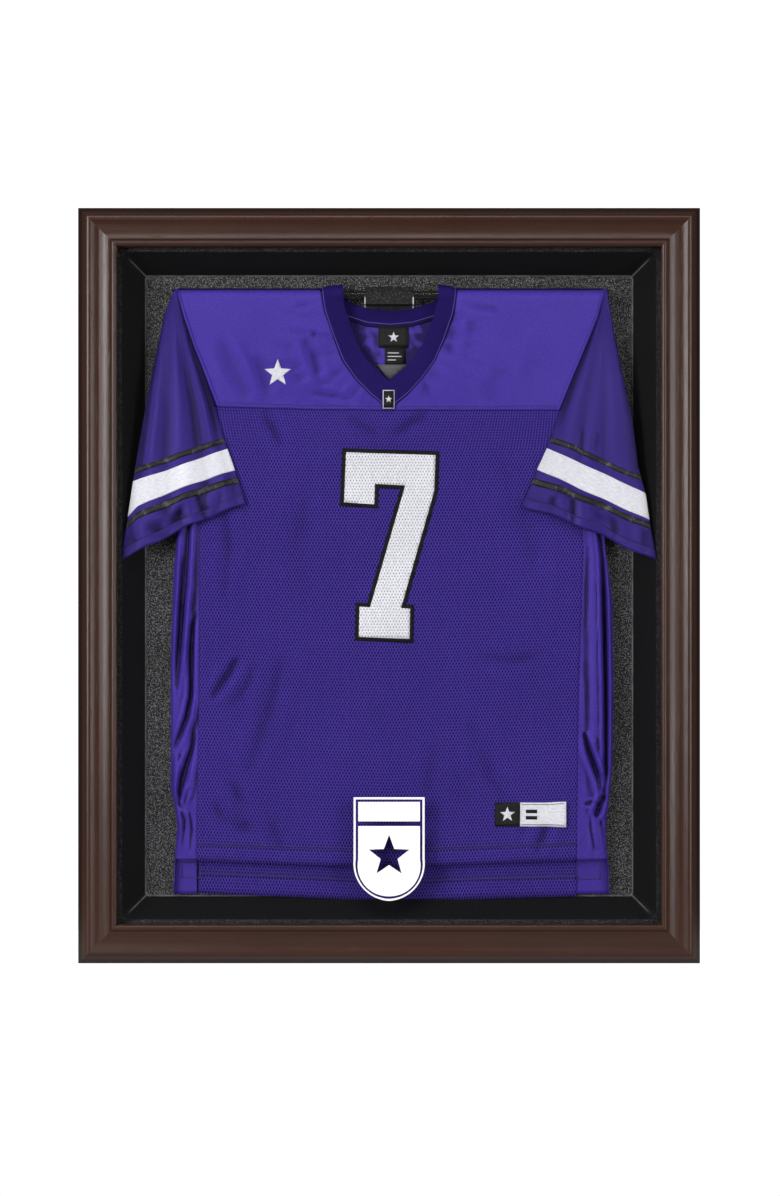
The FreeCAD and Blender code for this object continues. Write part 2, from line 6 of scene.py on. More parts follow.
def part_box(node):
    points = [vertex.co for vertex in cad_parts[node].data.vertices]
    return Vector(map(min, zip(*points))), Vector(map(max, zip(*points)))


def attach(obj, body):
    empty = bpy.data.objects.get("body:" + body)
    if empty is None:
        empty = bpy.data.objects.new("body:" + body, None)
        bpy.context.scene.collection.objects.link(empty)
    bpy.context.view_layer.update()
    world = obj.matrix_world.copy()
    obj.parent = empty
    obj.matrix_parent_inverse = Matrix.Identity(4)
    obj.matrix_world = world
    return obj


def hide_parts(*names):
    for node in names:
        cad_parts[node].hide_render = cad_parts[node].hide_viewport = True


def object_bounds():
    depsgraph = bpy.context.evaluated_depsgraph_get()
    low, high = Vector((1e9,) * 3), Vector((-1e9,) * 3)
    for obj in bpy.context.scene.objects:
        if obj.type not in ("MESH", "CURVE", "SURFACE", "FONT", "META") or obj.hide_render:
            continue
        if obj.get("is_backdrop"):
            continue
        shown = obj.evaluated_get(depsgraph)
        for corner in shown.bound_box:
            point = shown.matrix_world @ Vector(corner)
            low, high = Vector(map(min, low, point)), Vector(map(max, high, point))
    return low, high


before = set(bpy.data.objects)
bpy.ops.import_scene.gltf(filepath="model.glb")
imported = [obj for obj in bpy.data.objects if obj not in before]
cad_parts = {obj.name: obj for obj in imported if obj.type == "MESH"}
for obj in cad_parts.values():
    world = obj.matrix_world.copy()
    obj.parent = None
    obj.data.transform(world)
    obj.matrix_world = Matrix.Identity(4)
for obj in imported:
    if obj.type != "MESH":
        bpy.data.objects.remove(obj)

cadLow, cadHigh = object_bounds()
scene = bpy.context.scene
work = {"tree": None}  # the node tree that new nodes go into
print("frame loaded:", len(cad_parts), "nodes")


def feed(socket, value):
    if hasattr(value, "is_output"):
        work["tree"].links.new(value, socket)
    else:
        socket.default_value = value


def give(node, **inputs):  # links or plain values, by the names of the node's inputs
    for label, value in inputs.items():
        feed(node.inputs[label.replace("_", " ")], value)
    return node


def newNode(kind, **inputs):
    return give(work["tree"].nodes.new("ShaderNode" + kind), **inputs)


def maths(operation, a, b=0.0, c=None, clamp=False):
    node = newNode("Math")
    node.operation, node.use_clamp = operation, clamp
    for socket, value in zip(node.inputs, (a, b, c)):
        if value is not None:
            feed(socket, value)
    return node.outputs[0]


def add(a, b):
    return maths("ADD", a, b)


def sub(a, b):
    return maths("SUBTRACT", a, b)


def mul(a, b, clamp=False):
    return maths("MULTIPLY", a, b, clamp=clamp)


def mulAdd(a, b, c):
    return maths("MULTIPLY_ADD", a, b, c)


def size(a):
    return maths("ABSOLUTE", a)


def ramp(value, low, high, outLow=0.0, outHigh=1.0):  # smooth step from one range to another
    node = newNode("MapRange", Value=value, From_Min=low, From_Max=high, To_Min=outLow, To_Max=outHigh)
    node.interpolation_type = "SMOOTHSTEP"
    return node.outputs[0]


def blendColour(factor, a, b, kind="MIX"):
    node = newNode("Mix")
    node.data_type, node.blend_type = "RGBA", kind
    for number, value in ((0, factor), (6, a), (7, b)):  # 6 and 7 are the colour pair
        feed(node.inputs[number], value)
    return node.outputs[2]


def times(colour, shade):
    grey = newNode("CombineColor", Red=shade, Green=shade, Blue=shade).outputs[0]
    return blendColour(1.0, colour, grey, "MULTIPLY")


def speckle(vector, scale, detail=2.0, rough=0.5):
    return newNode("TexNoise", Vector=vector, Scale=scale, Detail=detail, Roughness=rough).outputs[0]


def stretched(vector, scale):
    return newNode("Mapping", Vector=vector, Scale=scale).outputs[0]


def parts(vector):  # its x, y and z
    return tuple(newNode("SeparateXYZ", Vector=vector).outputs)


def coordinates(kind="Object"):
    return newNode("TexCoord").outputs[kind]


def startGroup(name, inputs, outputs):  # inputs gives the starting values: none for a vector, four numbers for a colour
    group = work["tree"] = bpy.data.node_groups.new(name, "ShaderNodeTree")
    for label, value in inputs.items():
        kind = "Vector" if value is None else "Color" if isinstance(value, tuple) else "Float"
        socket = group.interface.new_socket(name=label, in_out="INPUT", socket_type="NodeSocket" + kind)
        if value is not None:
            socket.default_value = value
    for label in outputs:
        kind = "Color" if label == "Color" else "Float"
        group.interface.new_socket(name=label, in_out="OUTPUT", socket_type="NodeSocket" + kind)
    return group, group.nodes.new("NodeGroupInput").outputs, group.nodes.new("NodeGroupOutput")


def makeWoodGrain():
    group, start, end = startGroup("woodGrain", {"Vector": None, "Body": (0.06, 0.03, 0.02, 1),
                                                 "Streak": (0.02, 0.01, 0.01, 1), "Strength": 0.5},
                                   ("Color", "Height", "Roughness"))
    vector = start["Vector"]
    pores = speckle(stretched(vector, (900, 900, 26)), 1.0, 2.0, 0.6)
    bands = speckle(stretched(vector, (60, 60, 2.2)), 1.0, 3.0, 0.55)
    figure = speckle(stretched(vector, (14, 14, 3.0)), 1.0, 2.0, 0.5)
    poreMask, bandMask = ramp(pores, 0.56, 0.72), ramp(bands, 0.42, 0.66)
    shade = mul(add(mul(poreMask, 0.45), mul(bandMask, 0.5)), start["Strength"])
    shade = mul(shade, ramp(figure, 0.2, 0.8, 0.6, 1.25), clamp=True)
    give(end, Color=blendColour(shade, start["Body"], start["Streak"]), Height=sub(1.0, poreMask),
         Roughness=ramp(figure, 0.3, 0.7, 0.28, 0.36))
    return group


def makeHairCell():  # the short grained texture pressed into the black plastic
    group, start, end = startGroup("hairCell", {"Vector": None, "Size": 1.0}, ("Height", "Speckle"))
    scaled = newNode("VectorMath")
    scaled.operation = "SCALE"
    feed(scaled.inputs[0], start["Vector"])
    vector = give(scaled, Scale=start["Size"]).outputs[0]
    cells = newNode("TexVoronoi", Scale=420, Vector=vector)
    cells.feature = "SMOOTH_F1"
    coarse, fine = speckle(vector, 600, 1.0, 0.5), speckle(vector, 1050, 2.0, 0.7)
    give(end, Height=mulAdd(cells.outputs["Distance"], 0.6, fine),
         Speckle=ramp(mulAdd(coarse, 0.65, mul(fine, 0.35)), 0.49, 0.62))
    return group


def makeKnit():  # fine ribs of a warp knit, on the flat cloth's own coordinates in metres
    group, start, end = startGroup("warpKnit", {"Vector": None, "Pitch": 0.0011}, ("Height", "Glint"))
    across, down, _ = (maths("DIVIDE", part, start["Pitch"]) for part in parts(start["Vector"]))
    ribs = size(maths("SINE", mul(across, math.pi)))
    zig = maths("SINE", mulAdd(across, math.pi, mul(down, 4.2)))
    give(end, Height=mulAdd(zig, 0.25, ribs), Glint=ramp(speckle(start["Vector"], 900, 2.0, 0.8), 0.35, 0.7))
    return group


def makeMeshHoles():  # staggered eyelets of the jersey's mesh cloth
    group, start, end = startGroup("meshHoles", {"Vector": None, "Across": 0.0042, "Down": 0.0085, "Size": 0.0012},
                                   ("Hole", "Rim", "Height"))
    x, y, _ = parts(start["Vector"])
    pitch, rowPitch, eyelet = start["Across"], mul(start["Down"], 0.5), start["Size"]
    down = maths("DIVIDE", y, rowPitch)
    shift = mul(maths("MODULO", size(maths("FLOOR", down)), 2.0), 0.5)  # every other row is half a pitch along
    across = add(maths("DIVIDE", x, pitch), shift)
    dx = mul(sub(maths("FRACT", across), 0.5), pitch)
    dy = mul(sub(maths("FRACT", down), 0.5), rowPitch)
    reach = maths("SQRT", add(mul(dx, dx), mul(mul(dy, dy), 0.36)))
    rim = ramp(reach, eyelet, mul(eyelet, 1.9), 1.0, 0.0)
    give(end, Hole=ramp(reach, mul(eyelet, 0.55), mul(eyelet, 1.25), 1.0, 0.0), Rim=rim, Height=sub(1.0, rim))
    return group


def makeSoiling():  # faint unevenness that keeps a surface from looking new and flat
    group, start, end = startGroup("faintSoiling", {"Vector": None, "Low": 0.9, "High": 1.1}, ("Shade",))
    broad = speckle(start["Vector"], 7.0, 4.0, 0.6)
    spread = newNode("MapRange", Value=broad, From_Min=0.3, From_Max=0.7, To_Min=start["Low"], To_Max=start["High"])
    give(end, Shade=spread.outputs[0])
    return group


woodGrain, hairCell, warpKnit = makeWoodGrain(), makeHairCell(), makeKnit()
meshHoles, faintSoiling = makeMeshHoles(), makeSoiling()


def startMaterial(name, **plain):  # plain values go straight onto the shader
    material = bpy.data.materials.new(name)
    material.use_nodes = True
    work["tree"] = material.node_tree
    shader = next(n for n in material.node_tree.nodes if n.type == "BSDF_PRINCIPLED")
    return material, give(shader, **plain)


def place(group, **inputs):
    node = newNode("Group")
    node.node_tree = group
    return give(node, **inputs).outputs


def soiling(vector, low, high):
    return place(faintSoiling, Vector=vector, Low=low, High=high)["Shade"]


def bump(shader, height, depth, strength=0.5):
    give(shader, Normal=newNode("Bump", Strength=strength, Distance=depth, Height=height).outputs[0])


tone = {
    "mahogany": (0.036, 0.0138, 0.0084, 1), "mahoganyStreak": (0.016, 0.0062, 0.0038, 1),
    "blackStain": (0.016, 0.012, 0.011, 1), "blackStainStreak": (0.006, 0.005, 0.005, 1),
    "board": (0.19, 0.105, 0.055, 1), "boardStreak": (0.10, 0.052, 0.027, 1),
    "traySmooth": (0.0026, 0.0026, 0.0030, 1), "trayDark": (0.006, 0.006, 0.0065, 1),
    "trayPale": (0.160, 0.158, 0.165, 1), "trayEdgeHighlight": (0.13, 0.13, 0.135, 1),
    "hookDarkInShade": (0.004, 0.004, 0.0043, 1), "hookPaleInShade": (0.032, 0.032, 0.034, 1), "hookHighlight": (0.45, 0.45, 0.45, 1),
    "felt": (0.010, 0.010, 0.011, 1), "feltPale": (0.05, 0.05, 0.052, 1),
    "rodEdgeRefraction": (0.012, 0.014, 0.012, 1), "reflection": (0.93, 0.95, 0.96, 1),
    "meshPurple": (0.110, 0.065, 0.500, 1), "meshHole": (0.007, 0.0035, 0.038, 1),
    "satinPurple": (0.056, 0.033, 0.292, 1), "satinShade": (0.042, 0.023, 0.228, 1),
    "sleevePurpleInShade": (0.030, 0.0165, 0.158, 1), "sleeveShade": (0.021, 0.0115, 0.118, 1),
    "sidePurpleInShade": (0.050, 0.0285, 0.262, 1), "sideShade": (0.037, 0.019, 0.200, 1),
    "tapeAndShadowPurple": (0.013, 0.007, 0.062, 1), "tapeAndShadowShade": (0.008, 0.004, 0.04, 1),
    "ribPurple": (0.020, 0.010, 0.125, 1), "ribShade": (0.012, 0.006, 0.080, 1),
    "purpleGleam": (0.36, 0.26, 1, 1), "whiteGleam": (1, 1, 1, 1),
    "white": (0.80, 0.80, 0.83, 1), "whiteShade": (0.70, 0.70, 0.74, 1), "whiteHole": (0.20, 0.20, 0.26, 1),
    "twill": (0.70, 0.695, 0.735, 1), "twillShade": (0.60, 0.60, 0.65, 1),
    "black": (0.0045, 0.0045, 0.005, 1), "blackSheen": (0.012, 0.012, 0.013, 1), "blackHole": (0.002, 0.002, 0.003, 1),
    "stripeBlack": (0.006, 0.006, 0.007, 1), "stripeGlint": (0.075, 0.075, 0.080, 1),
}


def woodFinish(name, turn, wood, strength=0.55, shadedEdge=None):  # the last argument gives where the painted shade on the outer edge begins
    material, shader = startMaterial(name, Coat_Weight=0.06, Coat_Roughness=0.22, IOR=1.5, Specular_IOR_Level=0.27)
    vector = newNode("Mapping", Rotation=turn, Vector=coordinates()).outputs[0]
    grain = place(woodGrain, Vector=vector, Body=tone[wood], Streak=tone[wood + "Streak"], Strength=strength)
    shade = soiling(vector, 0.92, 1.08)
    if shadedEdge:
        # painted shade: the outer edge and sides darkened to 40 %
        x, _, z = parts(coordinates())
        over = maths("MAXIMUM", sub(size(x), shadedEdge["x"]), sub(size(z), shadedEdge["z"]))
        shade = mul(shade, ramp(over, 0.0, 0.0016, 1.0, 0.40))
    give(shader, Base_Color=times(grain["Color"], shade), Roughness=grain["Roughness"])
    bump(shader, grain["Height"], 0.00012)
    return material


def trayPaint(vector, colour, height):  # smooth and black where the walls were stretched, with a painted highlight along the back edge and the corner lines
    x, y, z = parts(vector)
    back, mouth = tray["backY"], tray["mouthY"]
    onBack = ramp(y, back - 0.0012, back - 0.0004)
    grained = add(onBack, ramp(y, mouth + 0.0012, mouth + 0.0006, 0.0, 0.3))
    # painted highlight: a pale line along the rounded edge where the back meets the walls
    line = mul(ramp(y, back - 0.0032, back - 0.0022), ramp(y, back - 0.0005, back - 0.0012))
    acrossOver = sub(size(x), tray["backHalfX"])
    upOver = mul(sub(size(z), tray["backHalfZ"]), 1.033)
    cornerHighlight = ramp(size(sub(acrossOver, upOver)), 0.0004, 0.0019, 0.85, 0.0)
    cornerHighlight = mul(cornerHighlight, ramp(y, mouth + 0.006, mouth + 0.014))
    patchy = ramp(speckle(vector, 60, 3.0, 0.7), 0.3, 0.6, 0.35, 1.0)
    # painted highlight: the back edge line and the corner lines are mixed in pale
    edgeHighlight = mul(maths("MAXIMUM", line, mul(cornerHighlight, sub(1.0, onBack))), patchy)
    colour = blendColour(edgeHighlight, blendColour(grained, tone["traySmooth"], colour), tone["trayEdgeHighlight"])
    return colour, mul(height, mulAdd(grained, 0.85, 0.15))


def hookPaint(vector, colour, height):  # painted highlight at the hook's two ends
    x, _, z = parts(vector)
    # painted highlight: a pale band at each end of the hook, below its top
    rim = ramp(size(x), hookHighlightBand["from"], hookHighlightBand["from"] + 0.0006)
    rim = mul(rim, ramp(z, hookHighlightBand["top"], hookHighlightBand["top"] - 0.003))
    return blendColour(rim, colour, tone["hookHighlight"]), height


def plasticFinish(name, dark, pale, grain=1.0, depth=0.0002, rough=0.55, paint=None):
    material, shader = startMaterial(name, IOR=1.5, Specular_IOR_Level=0.2)
    vector = coordinates()
    cells = place(hairCell, Vector=vector, Size=grain)
    colour, height = blendColour(cells["Speckle"], tone[dark], tone[pale]), cells["Height"]
    if paint:
        colour, height = paint(vector, colour, height)
    give(shader, Base_Color=times(colour, soiling(vector, 0.85, 1.15)),
         Roughness=ramp(cells["Speckle"], 0.0, 1.0, rough + 0.08, rough - 0.06))
    bump(shader, height, depth)
    return material


def metalFinish(name, colour, rough=0.3, metallic=1.0):
    material, shader = startMaterial(name, Metallic=metallic)
    vector = coordinates()
    lines = speckle(stretched(vector, (40, 40, 900)), 1.0, 2.0, 0.6)
    brushed = blendColour(lines, colour, tuple(0.72 * part for part in colour[:3]) + (1,))
    give(shader, Base_Color=times(brushed, soiling(vector, 0.85, 1.1)),
         Roughness=ramp(lines, 0.2, 0.8, rough - 0.08, rough + 0.12))
    bump(shader, lines, 0.00004)
    return material


def clearFinish(name, strength, rough):
    material, shader = startMaterial(name, Metallic=1.0, Base_Color=tone["reflection"])
    haze = ramp(speckle(coordinates(), 5.0, 3.0, 0.6), 0.3, 0.8, rough, rough + 0.02)
    give(shader, Roughness=haze, Alpha=mul(newNode("Fresnel", IOR=1.49).outputs[0], strength, clamp=True))
    return material


def barFinish(name):  # painted refraction: a clear rod in front of black, its edges coloured dark for the black seen through them, its middle shows what is behind
    material, shader = startMaterial(name, Base_Color=tone["rodEdgeRefraction"], IOR=1.49)
    edge = newNode("LayerWeight", Blend=0.5).outputs["Facing"]
    give(shader, Alpha=ramp(edge, 0.25, 0.85, 0.50, 0.95),
         Roughness=ramp(speckle(coordinates(), 40, 3.0, 0.6), 0.3, 0.8, 0.09, 0.16))
    return material


def clothFinish(name, colour, shade, pitch=0.0011, rough=0.42, gleam="purpleGleam", depth=0.00018, holes=None,
                specular=0.3, darkest=0.12, crinkleGlint=None):
    material, shader = startMaterial(name, Specular_IOR_Level=specular, Specular_Tint=tone[gleam])
    vector = coordinates("UV")
    knit = place(warpKnit, Vector=vector, Pitch=pitch)
    base = blendColour(mul(knit["Glint"], 0.5), tone[shade], tone[colour])
    height = knit["Height"]
    roughness = ramp(knit["Glint"], 0.0, 1.0, rough + 0.08, rough - 0.05)
    if crinkleGlint:  # painted highlight: glints of the creased shine of a satin tape, whose creases are also bumped
        creasesAndGlints = ramp(speckle(stretched(vector, (130, 60, 60)), 1.0, 3.0, 0.65), 0.50, 0.66)
        base = blendColour(creasesAndGlints, base, tone[crinkleGlint])
        height = mulAdd(creasesAndGlints, 2.0, height)
    if holes:  # their colour, how strong it is, and their size
        eyes = place(meshHoles, Vector=vector, Size=holes[2])
        base = blendColour(mul(eyes["Hole"], holes[1]), base, tone[holes[0]])
        height = mulAdd(eyes["Height"], 3.0, height)
        roughness = add(roughness, mul(eyes["Rim"], 0.2))
    paintedShade = newNode("Attribute")  # painted shade and highlight, written on each cloth: + darkens the bottom of a fold, - lightens its crest
    paintedShade.attribute_name = "paintedShade"
    deep = paintedShade.outputs["Fac"]
    # painted shade in the bottoms of folds and painted highlight on their crests
    paintedFoldShade = mul(ramp(deep, 0.0, 1.0, 1.0, darkest), ramp(deep, -0.8, 0.0, 1.16, 1.0))
    slub = ramp(speckle(stretched(vector, (190, 420, 190)), 1.0, 3.0, 0.7), 0.30, 0.70, 0.86, 1.14)
    paintedShadeAndTone = mul(mul(paintedFoldShade, slub), soiling(coordinates(), 0.93, 1.07))
    give(shader, Base_Color=times(base, paintedShadeAndTone), Roughness=roughness)
    bump(shader, height, depth, 0.7)
    return material


def flatFinish(name, colour, rough):
    material, shader = startMaterial(name)
    vector = coordinates()
    give(shader, Base_Color=times(colour, soiling(vector, 0.93, 1.05)),
         Roughness=ramp(speckle(vector, 300, 2.0, 0.6), 0.3, 0.7, rough - 0.05, rough + 0.08))
    return material


alongX, upright = (0, math.pi / 2, 0), (0, 0, 0)
shadedEdgeWidth = 0.0072
shadedEdge = {"x": cadHigh.x - shadedEdgeWidth, "z": cadHigh.z - shadedEdgeWidth}
mahoganyAcross = woodFinish("mahoganyAcross", alongX, "mahogany", shadedEdge=shadedEdge)
mahoganyUpright = woodFinish("mahoganyUpright", upright, "mahogany", shadedEdge=shadedEdge)
stainedAcross = woodFinish("stainedAcross", alongX, "blackStain")
stainedUpright = woodFinish("stainedUpright", upright, "blackStain")
hardboard = woodFinish("hardboard", (0.3, 0.2, 0.1), "board", 0.4)
trayLow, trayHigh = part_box("back_tray")
tray = {"backY": trayHigh.y - 0.002, "mouthY": trayLow.y, "backHalfX": 0.3465, "backHalfZ": 0.4415}
hookHighlightBand = {"from": 0.0332, "top": 0.411}
trayPlastic = plasticFinish("trayPlastic", "trayDark", "trayPale", paint=trayPaint)
# painted shade: the hook is the tray's plastic in darker tones
hookPlasticInShade = plasticFinish("hookPlasticInShade", "hookDarkInShade", "hookPaleInShade", paint=hookPaint)
feltStrip = plasticFinish("feltStrip", "felt", "feltPale", 1.6, 0.0004, 0.85)
zincSteel = metalFinish("zincSteel", (0.60, 0.60, 0.59, 1))
blackSteel = metalFinish("blackSteel", (0.025, 0.025, 0.027, 1), 0.38, 0.6)
clearSheet = clearFinish("clearSheet", 0.14, 0.02)
clearBar = barFinish("clearBar")
whiteInk = flatFinish("whiteInk", (0.88, 0.88, 0.89, 1), 0.35)
meshCloth = clothFinish("meshCloth", "meshPurple", "satinShade", holes=("meshHole", 1.0, 0.00145),
                        rough=0.55, darkest=0.3)
satinCloth = clothFinish("satinCloth", "satinPurple", "satinShade", rough=0.36, specular=0.35, darkest=0.20)
# painted shade: the sleeves and side panels are the yoke's satin in darker tones, with deeper fold shade
satinSleeveInShade = clothFinish("satinSleeveInShade", "sleevePurpleInShade", "sleeveShade", rough=0.36, specular=0.4, darkest=0.08)
satinSideInShade = clothFinish("satinSideInShade", "sidePurpleInShade", "sideShade", rough=0.34, specular=0.4, darkest=0.05)
# the real neck tape, and also the painted shadow strips at the shoulders and armholes
darkSatin = clothFinish("darkSatin", "tapeAndShadowPurple", "tapeAndShadowShade", rough=0.5, specular=0.2)
ribCloth = clothFinish("ribCloth", "ribPurple", "ribShade", pitch=0.0024, depth=0.0005, rough=0.6, specular=0.2)
whiteTwill = clothFinish("whiteTwill", "twill", "twillShade", gleam="whiteGleam", rough=0.55, darkest=0.55)
whiteOnMesh = clothFinish("whiteOnMesh", "white", "whiteShade", holes=("whiteHole", 0.85, 0.00095),
                          gleam="whiteGleam", rough=0.5, darkest=0.6)
blackSatin = clothFinish("blackSatin", "blackSheen", "black", gleam="whiteGleam", rough=0.5, specular=0.15)
stripeSatin = clothFinish("stripeSatin", "stripeBlack", "stripeBlack", gleam="whiteGleam", rough=0.4,
                          specular=0.25, crinkleGlint="stripeGlint")
blackOnMesh = clothFinish("blackOnMesh", "blackSheen", "black", holes=("blackHole", 0.7, 0.0012),
                          gleam="whiteGleam", rough=0.55, specular=0.15)
greyCard = flatFinish("greyCard", (0.075, 0.075, 0.080, 1), 0.5)
whiteThread = flatFinish("whiteThread", (0.55, 0.55, 0.60, 1), 0.6)
purpleThread = flatFinish("purpleThread", (0.075, 0.05, 0.32, 1), 0.5)
darkThread = flatFinish("darkThread", (0.018, 0.009, 0.10, 1), 0.6)

nodeFinish = {
    "door_rail_top": mahoganyAcross, "door_rail_bottom": mahoganyAcross,
    "door_stile_left": mahoganyUpright, "door_stile_right": mahoganyUpright,
    "box_rail_top": stainedAcross, "box_rail_bottom": stainedAcross, "hanging_rail": stainedAcross,
    "box_rail_left": stainedUpright, "box_rail_right": stainedUpright,
    "back_board": hardboard, "back_tray": trayPlastic, "rod_hook": hookPlasticInShade, "dust_seal": feltStrip,
    "acrylic_front": clearSheet, "hanging_rod": clearBar, "emblem_print": whiteInk,
}
for name in ("tray_screws", "rod_hook_screws", "latch_strikes", "latch_strike_screws", "latch_pivots",
             "lower_latch_hook", "upper_latch_hook"):
    nodeFinish[name] = blackSteel
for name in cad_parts:
    piece = bpy.data.objects.get(name)
    if piece is None or piece.type != "MESH":
        continue
    material = nodeFinish.get(name, zincSteel)
    if not piece.material_slots:
        piece.data.materials.append(material)
    for slot in piece.material_slots:
        slot.material = material
print("finishes ready")


def through(points, key=1):  # smooth curve: the value of one column at a place along the other
    rows = sorted((p[key], p[1 - key]) for p in points)

    def at(place):
        if place <= rows[0][0]:
            return rows[0][1]
        for (a, va), (b, vb) in zip(rows, rows[1:]):
            if place <= b:
                t = (place - a) / (b - a)
                return va + (vb - va) * t
        return rows[-1][1]
    return at


def along(points):  # point on a polyline at a fraction of its length
    rows = [Vector(p) for p in points]
    runs = [(b - a).length for a, b in zip(rows, rows[1:])]
    total = sum(runs)

    def at(fraction):
        left = min(max(fraction, 0), 1) * total
        for a, b, run in zip(rows, rows[1:], runs):
            if left <= run:
                return a.lerp(b, left / run)
            left -= run
        return rows[-1].copy()
    return at


def patch(top, bottom, left, right):  # a point inside four edges that meet at the corners
    a, b, l, r = along(top), along(bottom), along(left), along(right)
    p00, p10, p01, p11 = a(0), a(1), b(0), b(1)

    def at(u, v):
        return (a(u) * (1 - v) + b(u) * v + l(v) * (1 - u) + r(v) * u
                - (p00 * (1 - u) * (1 - v) + p10 * u * (1 - v) + p01 * (1 - u) * v + p11 * u * v))
    return at


def hump(distance, width):
    return math.exp(-(distance / width) ** 2)


def between(low, high, value):
    t = min(max((value - low) / (high - low), 0), 1)
    return t * t * (3 - 2 * t)


def waves(points):  # smooth rises and dips through given places
    def at(place):
        if place <= points[0][0]:
            return points[0][1]
        for (a, va), (b, vb) in zip(points, points[1:]):
            if place <= b:
                return va + (vb - va) * between(a, b, place)
        return points[-1][1]
    return at


def ripple(x, z, size, seed=0.0):
    return noise.noise(Vector((x / size, z / size, seed)))


def creases(x, h, folds):  # each fold: depth (minus dips), half width, and the line it follows
    lift = 0.0
    for depth, width, line in folds:
        nearest, spot = 1e9, 0.0
        for step, ((xa, za), (xb, zb)) in enumerate(zip(line, line[1:])):
            dx, dz = xb - xa, zb - za
            t = min(max(((x - xa) * dx + (h - za) * dz) / (dx * dx + dz * dz), 0), 1)
            away = math.hypot(x - xa - t * dx, h - za - t * dz)
            if away < nearest:
                nearest, spot = away, (step + t) / (len(line) - 1)
        if nearest < 4 * width:
            taper = max(0.0, math.sin(math.pi * spot)) ** 0.5
            half = width * (0.9 + 0.5 * taper)
            lift += depth * taper * (hump(nearest, half) - 0.4 * hump(nearest - 2.0 * half, 0.8 * half))
    return lift


hang = {"settled": -0.0016, "rodY": -24.0, "rodZ": 413.0, "wrap": 9.4}
bodyFolds = [
    (-1.5, 4, [(-135, 397), (-120, 403), (-104, 413)]), (-1.2, 3, [(-108, 364), (-106, 352)]),
    (-1.0, 5, [(-121, 354), (-106, 321), (-99, 290)]), (1.0, 6, [(-134, 350), (-118, 316), (-108, 285)]),
    (-1.2, 7, [(-242, 350), (-222, 312), (-198, 268)]), (1.1, 8, [(-226, 352), (-204, 310), (-180, 266)]),
    (-0.9, 7, [(-190, 330), (-170, 270)]), (-1.1, 3.5, [(-110, 276), (-84, 272), (-56, 265)]),
    (-1.5, 4.5, [(102, 417), (127, 402), (158, 395)]), (-1.0, 6, [(96, 392), (88, 350), (84, 330)]),
    (0.9, 6, [(108, 392), (98, 350), (94, 325)]), (-1.0, 8, [(170, 318), (150, 285), (136, 258)]),
    (-0.9, 6, [(66, 310), (52, 285), (38, 258)]), (-0.8, 9, [(236, 372), (214, 330), (196, 290)]),
    (-1.2, 7, [(58, 246), (32, 236), (4, 214)]), (-1.0, 8, [(-60, 244), (-38, 228), (-14, 214)]),
    (-1.1, 6, [(-181, 248), (-166, 226), (-150, 196)]), (-1.6, 5, [(-214, -98), (-228, -124), (-254, -160)]),
    (1.0, 6, [(-204, -104), (-218, -132), (-244, -166)]), (-1.1, 9, [(-150, -90), (-176, -190), (-206, -270)]),
    (-1.2, 8, [(-252, -300), (-236, -322), (-214, -340), (-190, -346)]),
    (-1.0, 8, [(-226, -270), (-212, -308), (-200, -340)]), (-1.0, 9, [(-170, -330), (-150, -378)]),
    (-0.9, 10, [(110, -190), (150, -280), (196, -352)]),
    (-1.3, 6, [(226, -330), (218, -352), (206, -380)]), (-0.8, 10, [(60, -220), (52, -330)]),
    (-0.8, 12, [(-110, 180), (-130, 60), (-118, -40)]), (-0.8, 12, [(150, 200), (190, 90), (214, -30)]),
    (-0.9, 8, [(120, -96), (170, -104), (216, -96)]), (-0.8, 7, [(-240, 150), (-228, 60), (-236, -20)]),
]


def bodyRelief(x, h):  # how far the front stands forward, from the slack in it
    satin = between(245, 262, h)  # it creases more sharply than mesh
    lift = 2.4 * ripple(x, h, 150, 1.0) + 1.5 * ripple(x, h, 60, 2.0) + 2.0 * creases(x, h, bodyFolds)
    if satin:  # fine creases that spread from the collar
        radius = math.hypot(x, h - 345)
        fade = satin * between(60, 85, radius) * (1 - 0.75 * between(110, 210, radius))
        lift += 2.0 * fade * noise.noise(Vector((math.atan2(h - 345, x) * 8, radius / 60, 3.0)))
        lift += 0.9 * fade * noise.noise(Vector((math.atan2(h - 345, x) * 19, radius / 45, 7.0)))
    return lift - 0.8 * hump(h - 250, 4)


def frontPoint(x, h, lift=0.0):  # over the rod above its middle, straight down below it
    out = hang["wrap"] + lift
    turn = max(0.0, (h - hang["rodZ"]) / hang["wrap"])
    return Vector((x, hang["rodY"] - out * math.cos(turn), min(h, hang["rodZ"]) + out * math.sin(turn)))


def frontCloth(x, h, lift=0.0):
    calm = between(hang["rodZ"] + 2, hang["rodZ"] - 25, h)
    return frontPoint(x, h, lift + calm * bodyRelief(x, h))


def backCloth(x, h, lift=0.0):
    calm = between(hang["rodZ"] + 2, hang["rodZ"] - 25, h)
    point = frontPoint(x, h, lift + calm * 0.8 * ripple(x, h, 90, 5.0))
    point.y = 2 * hang["rodY"] - point.y
    return point


def finishPiece(bm, name, material, thick):
    bmesh.ops.translate(bm, verts=bm.verts, vec=(0, 0, hang["settled"]))
    mesh = bpy.data.meshes.new(name)
    bm.to_mesh(mesh)
    bm.free()
    piece = bpy.data.objects.new(name, mesh)
    scene.collection.objects.link(piece)
    mesh.materials.append(material)
    for face in mesh.polygons:
        face.use_smooth = True
    wall = piece.modifiers.new("thickness", "SOLIDIFY")
    wall.thickness, wall.offset = thick * 0.001, -1.0
    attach(piece, "hanger")
    return piece


def faceFront(bm):
    bm.normal_update()
    if sum((f.normal * f.calc_area() for f in bm.faces), Vector()).y > 0:
        bmesh.ops.reverse_faces(bm, faces=bm.faces)


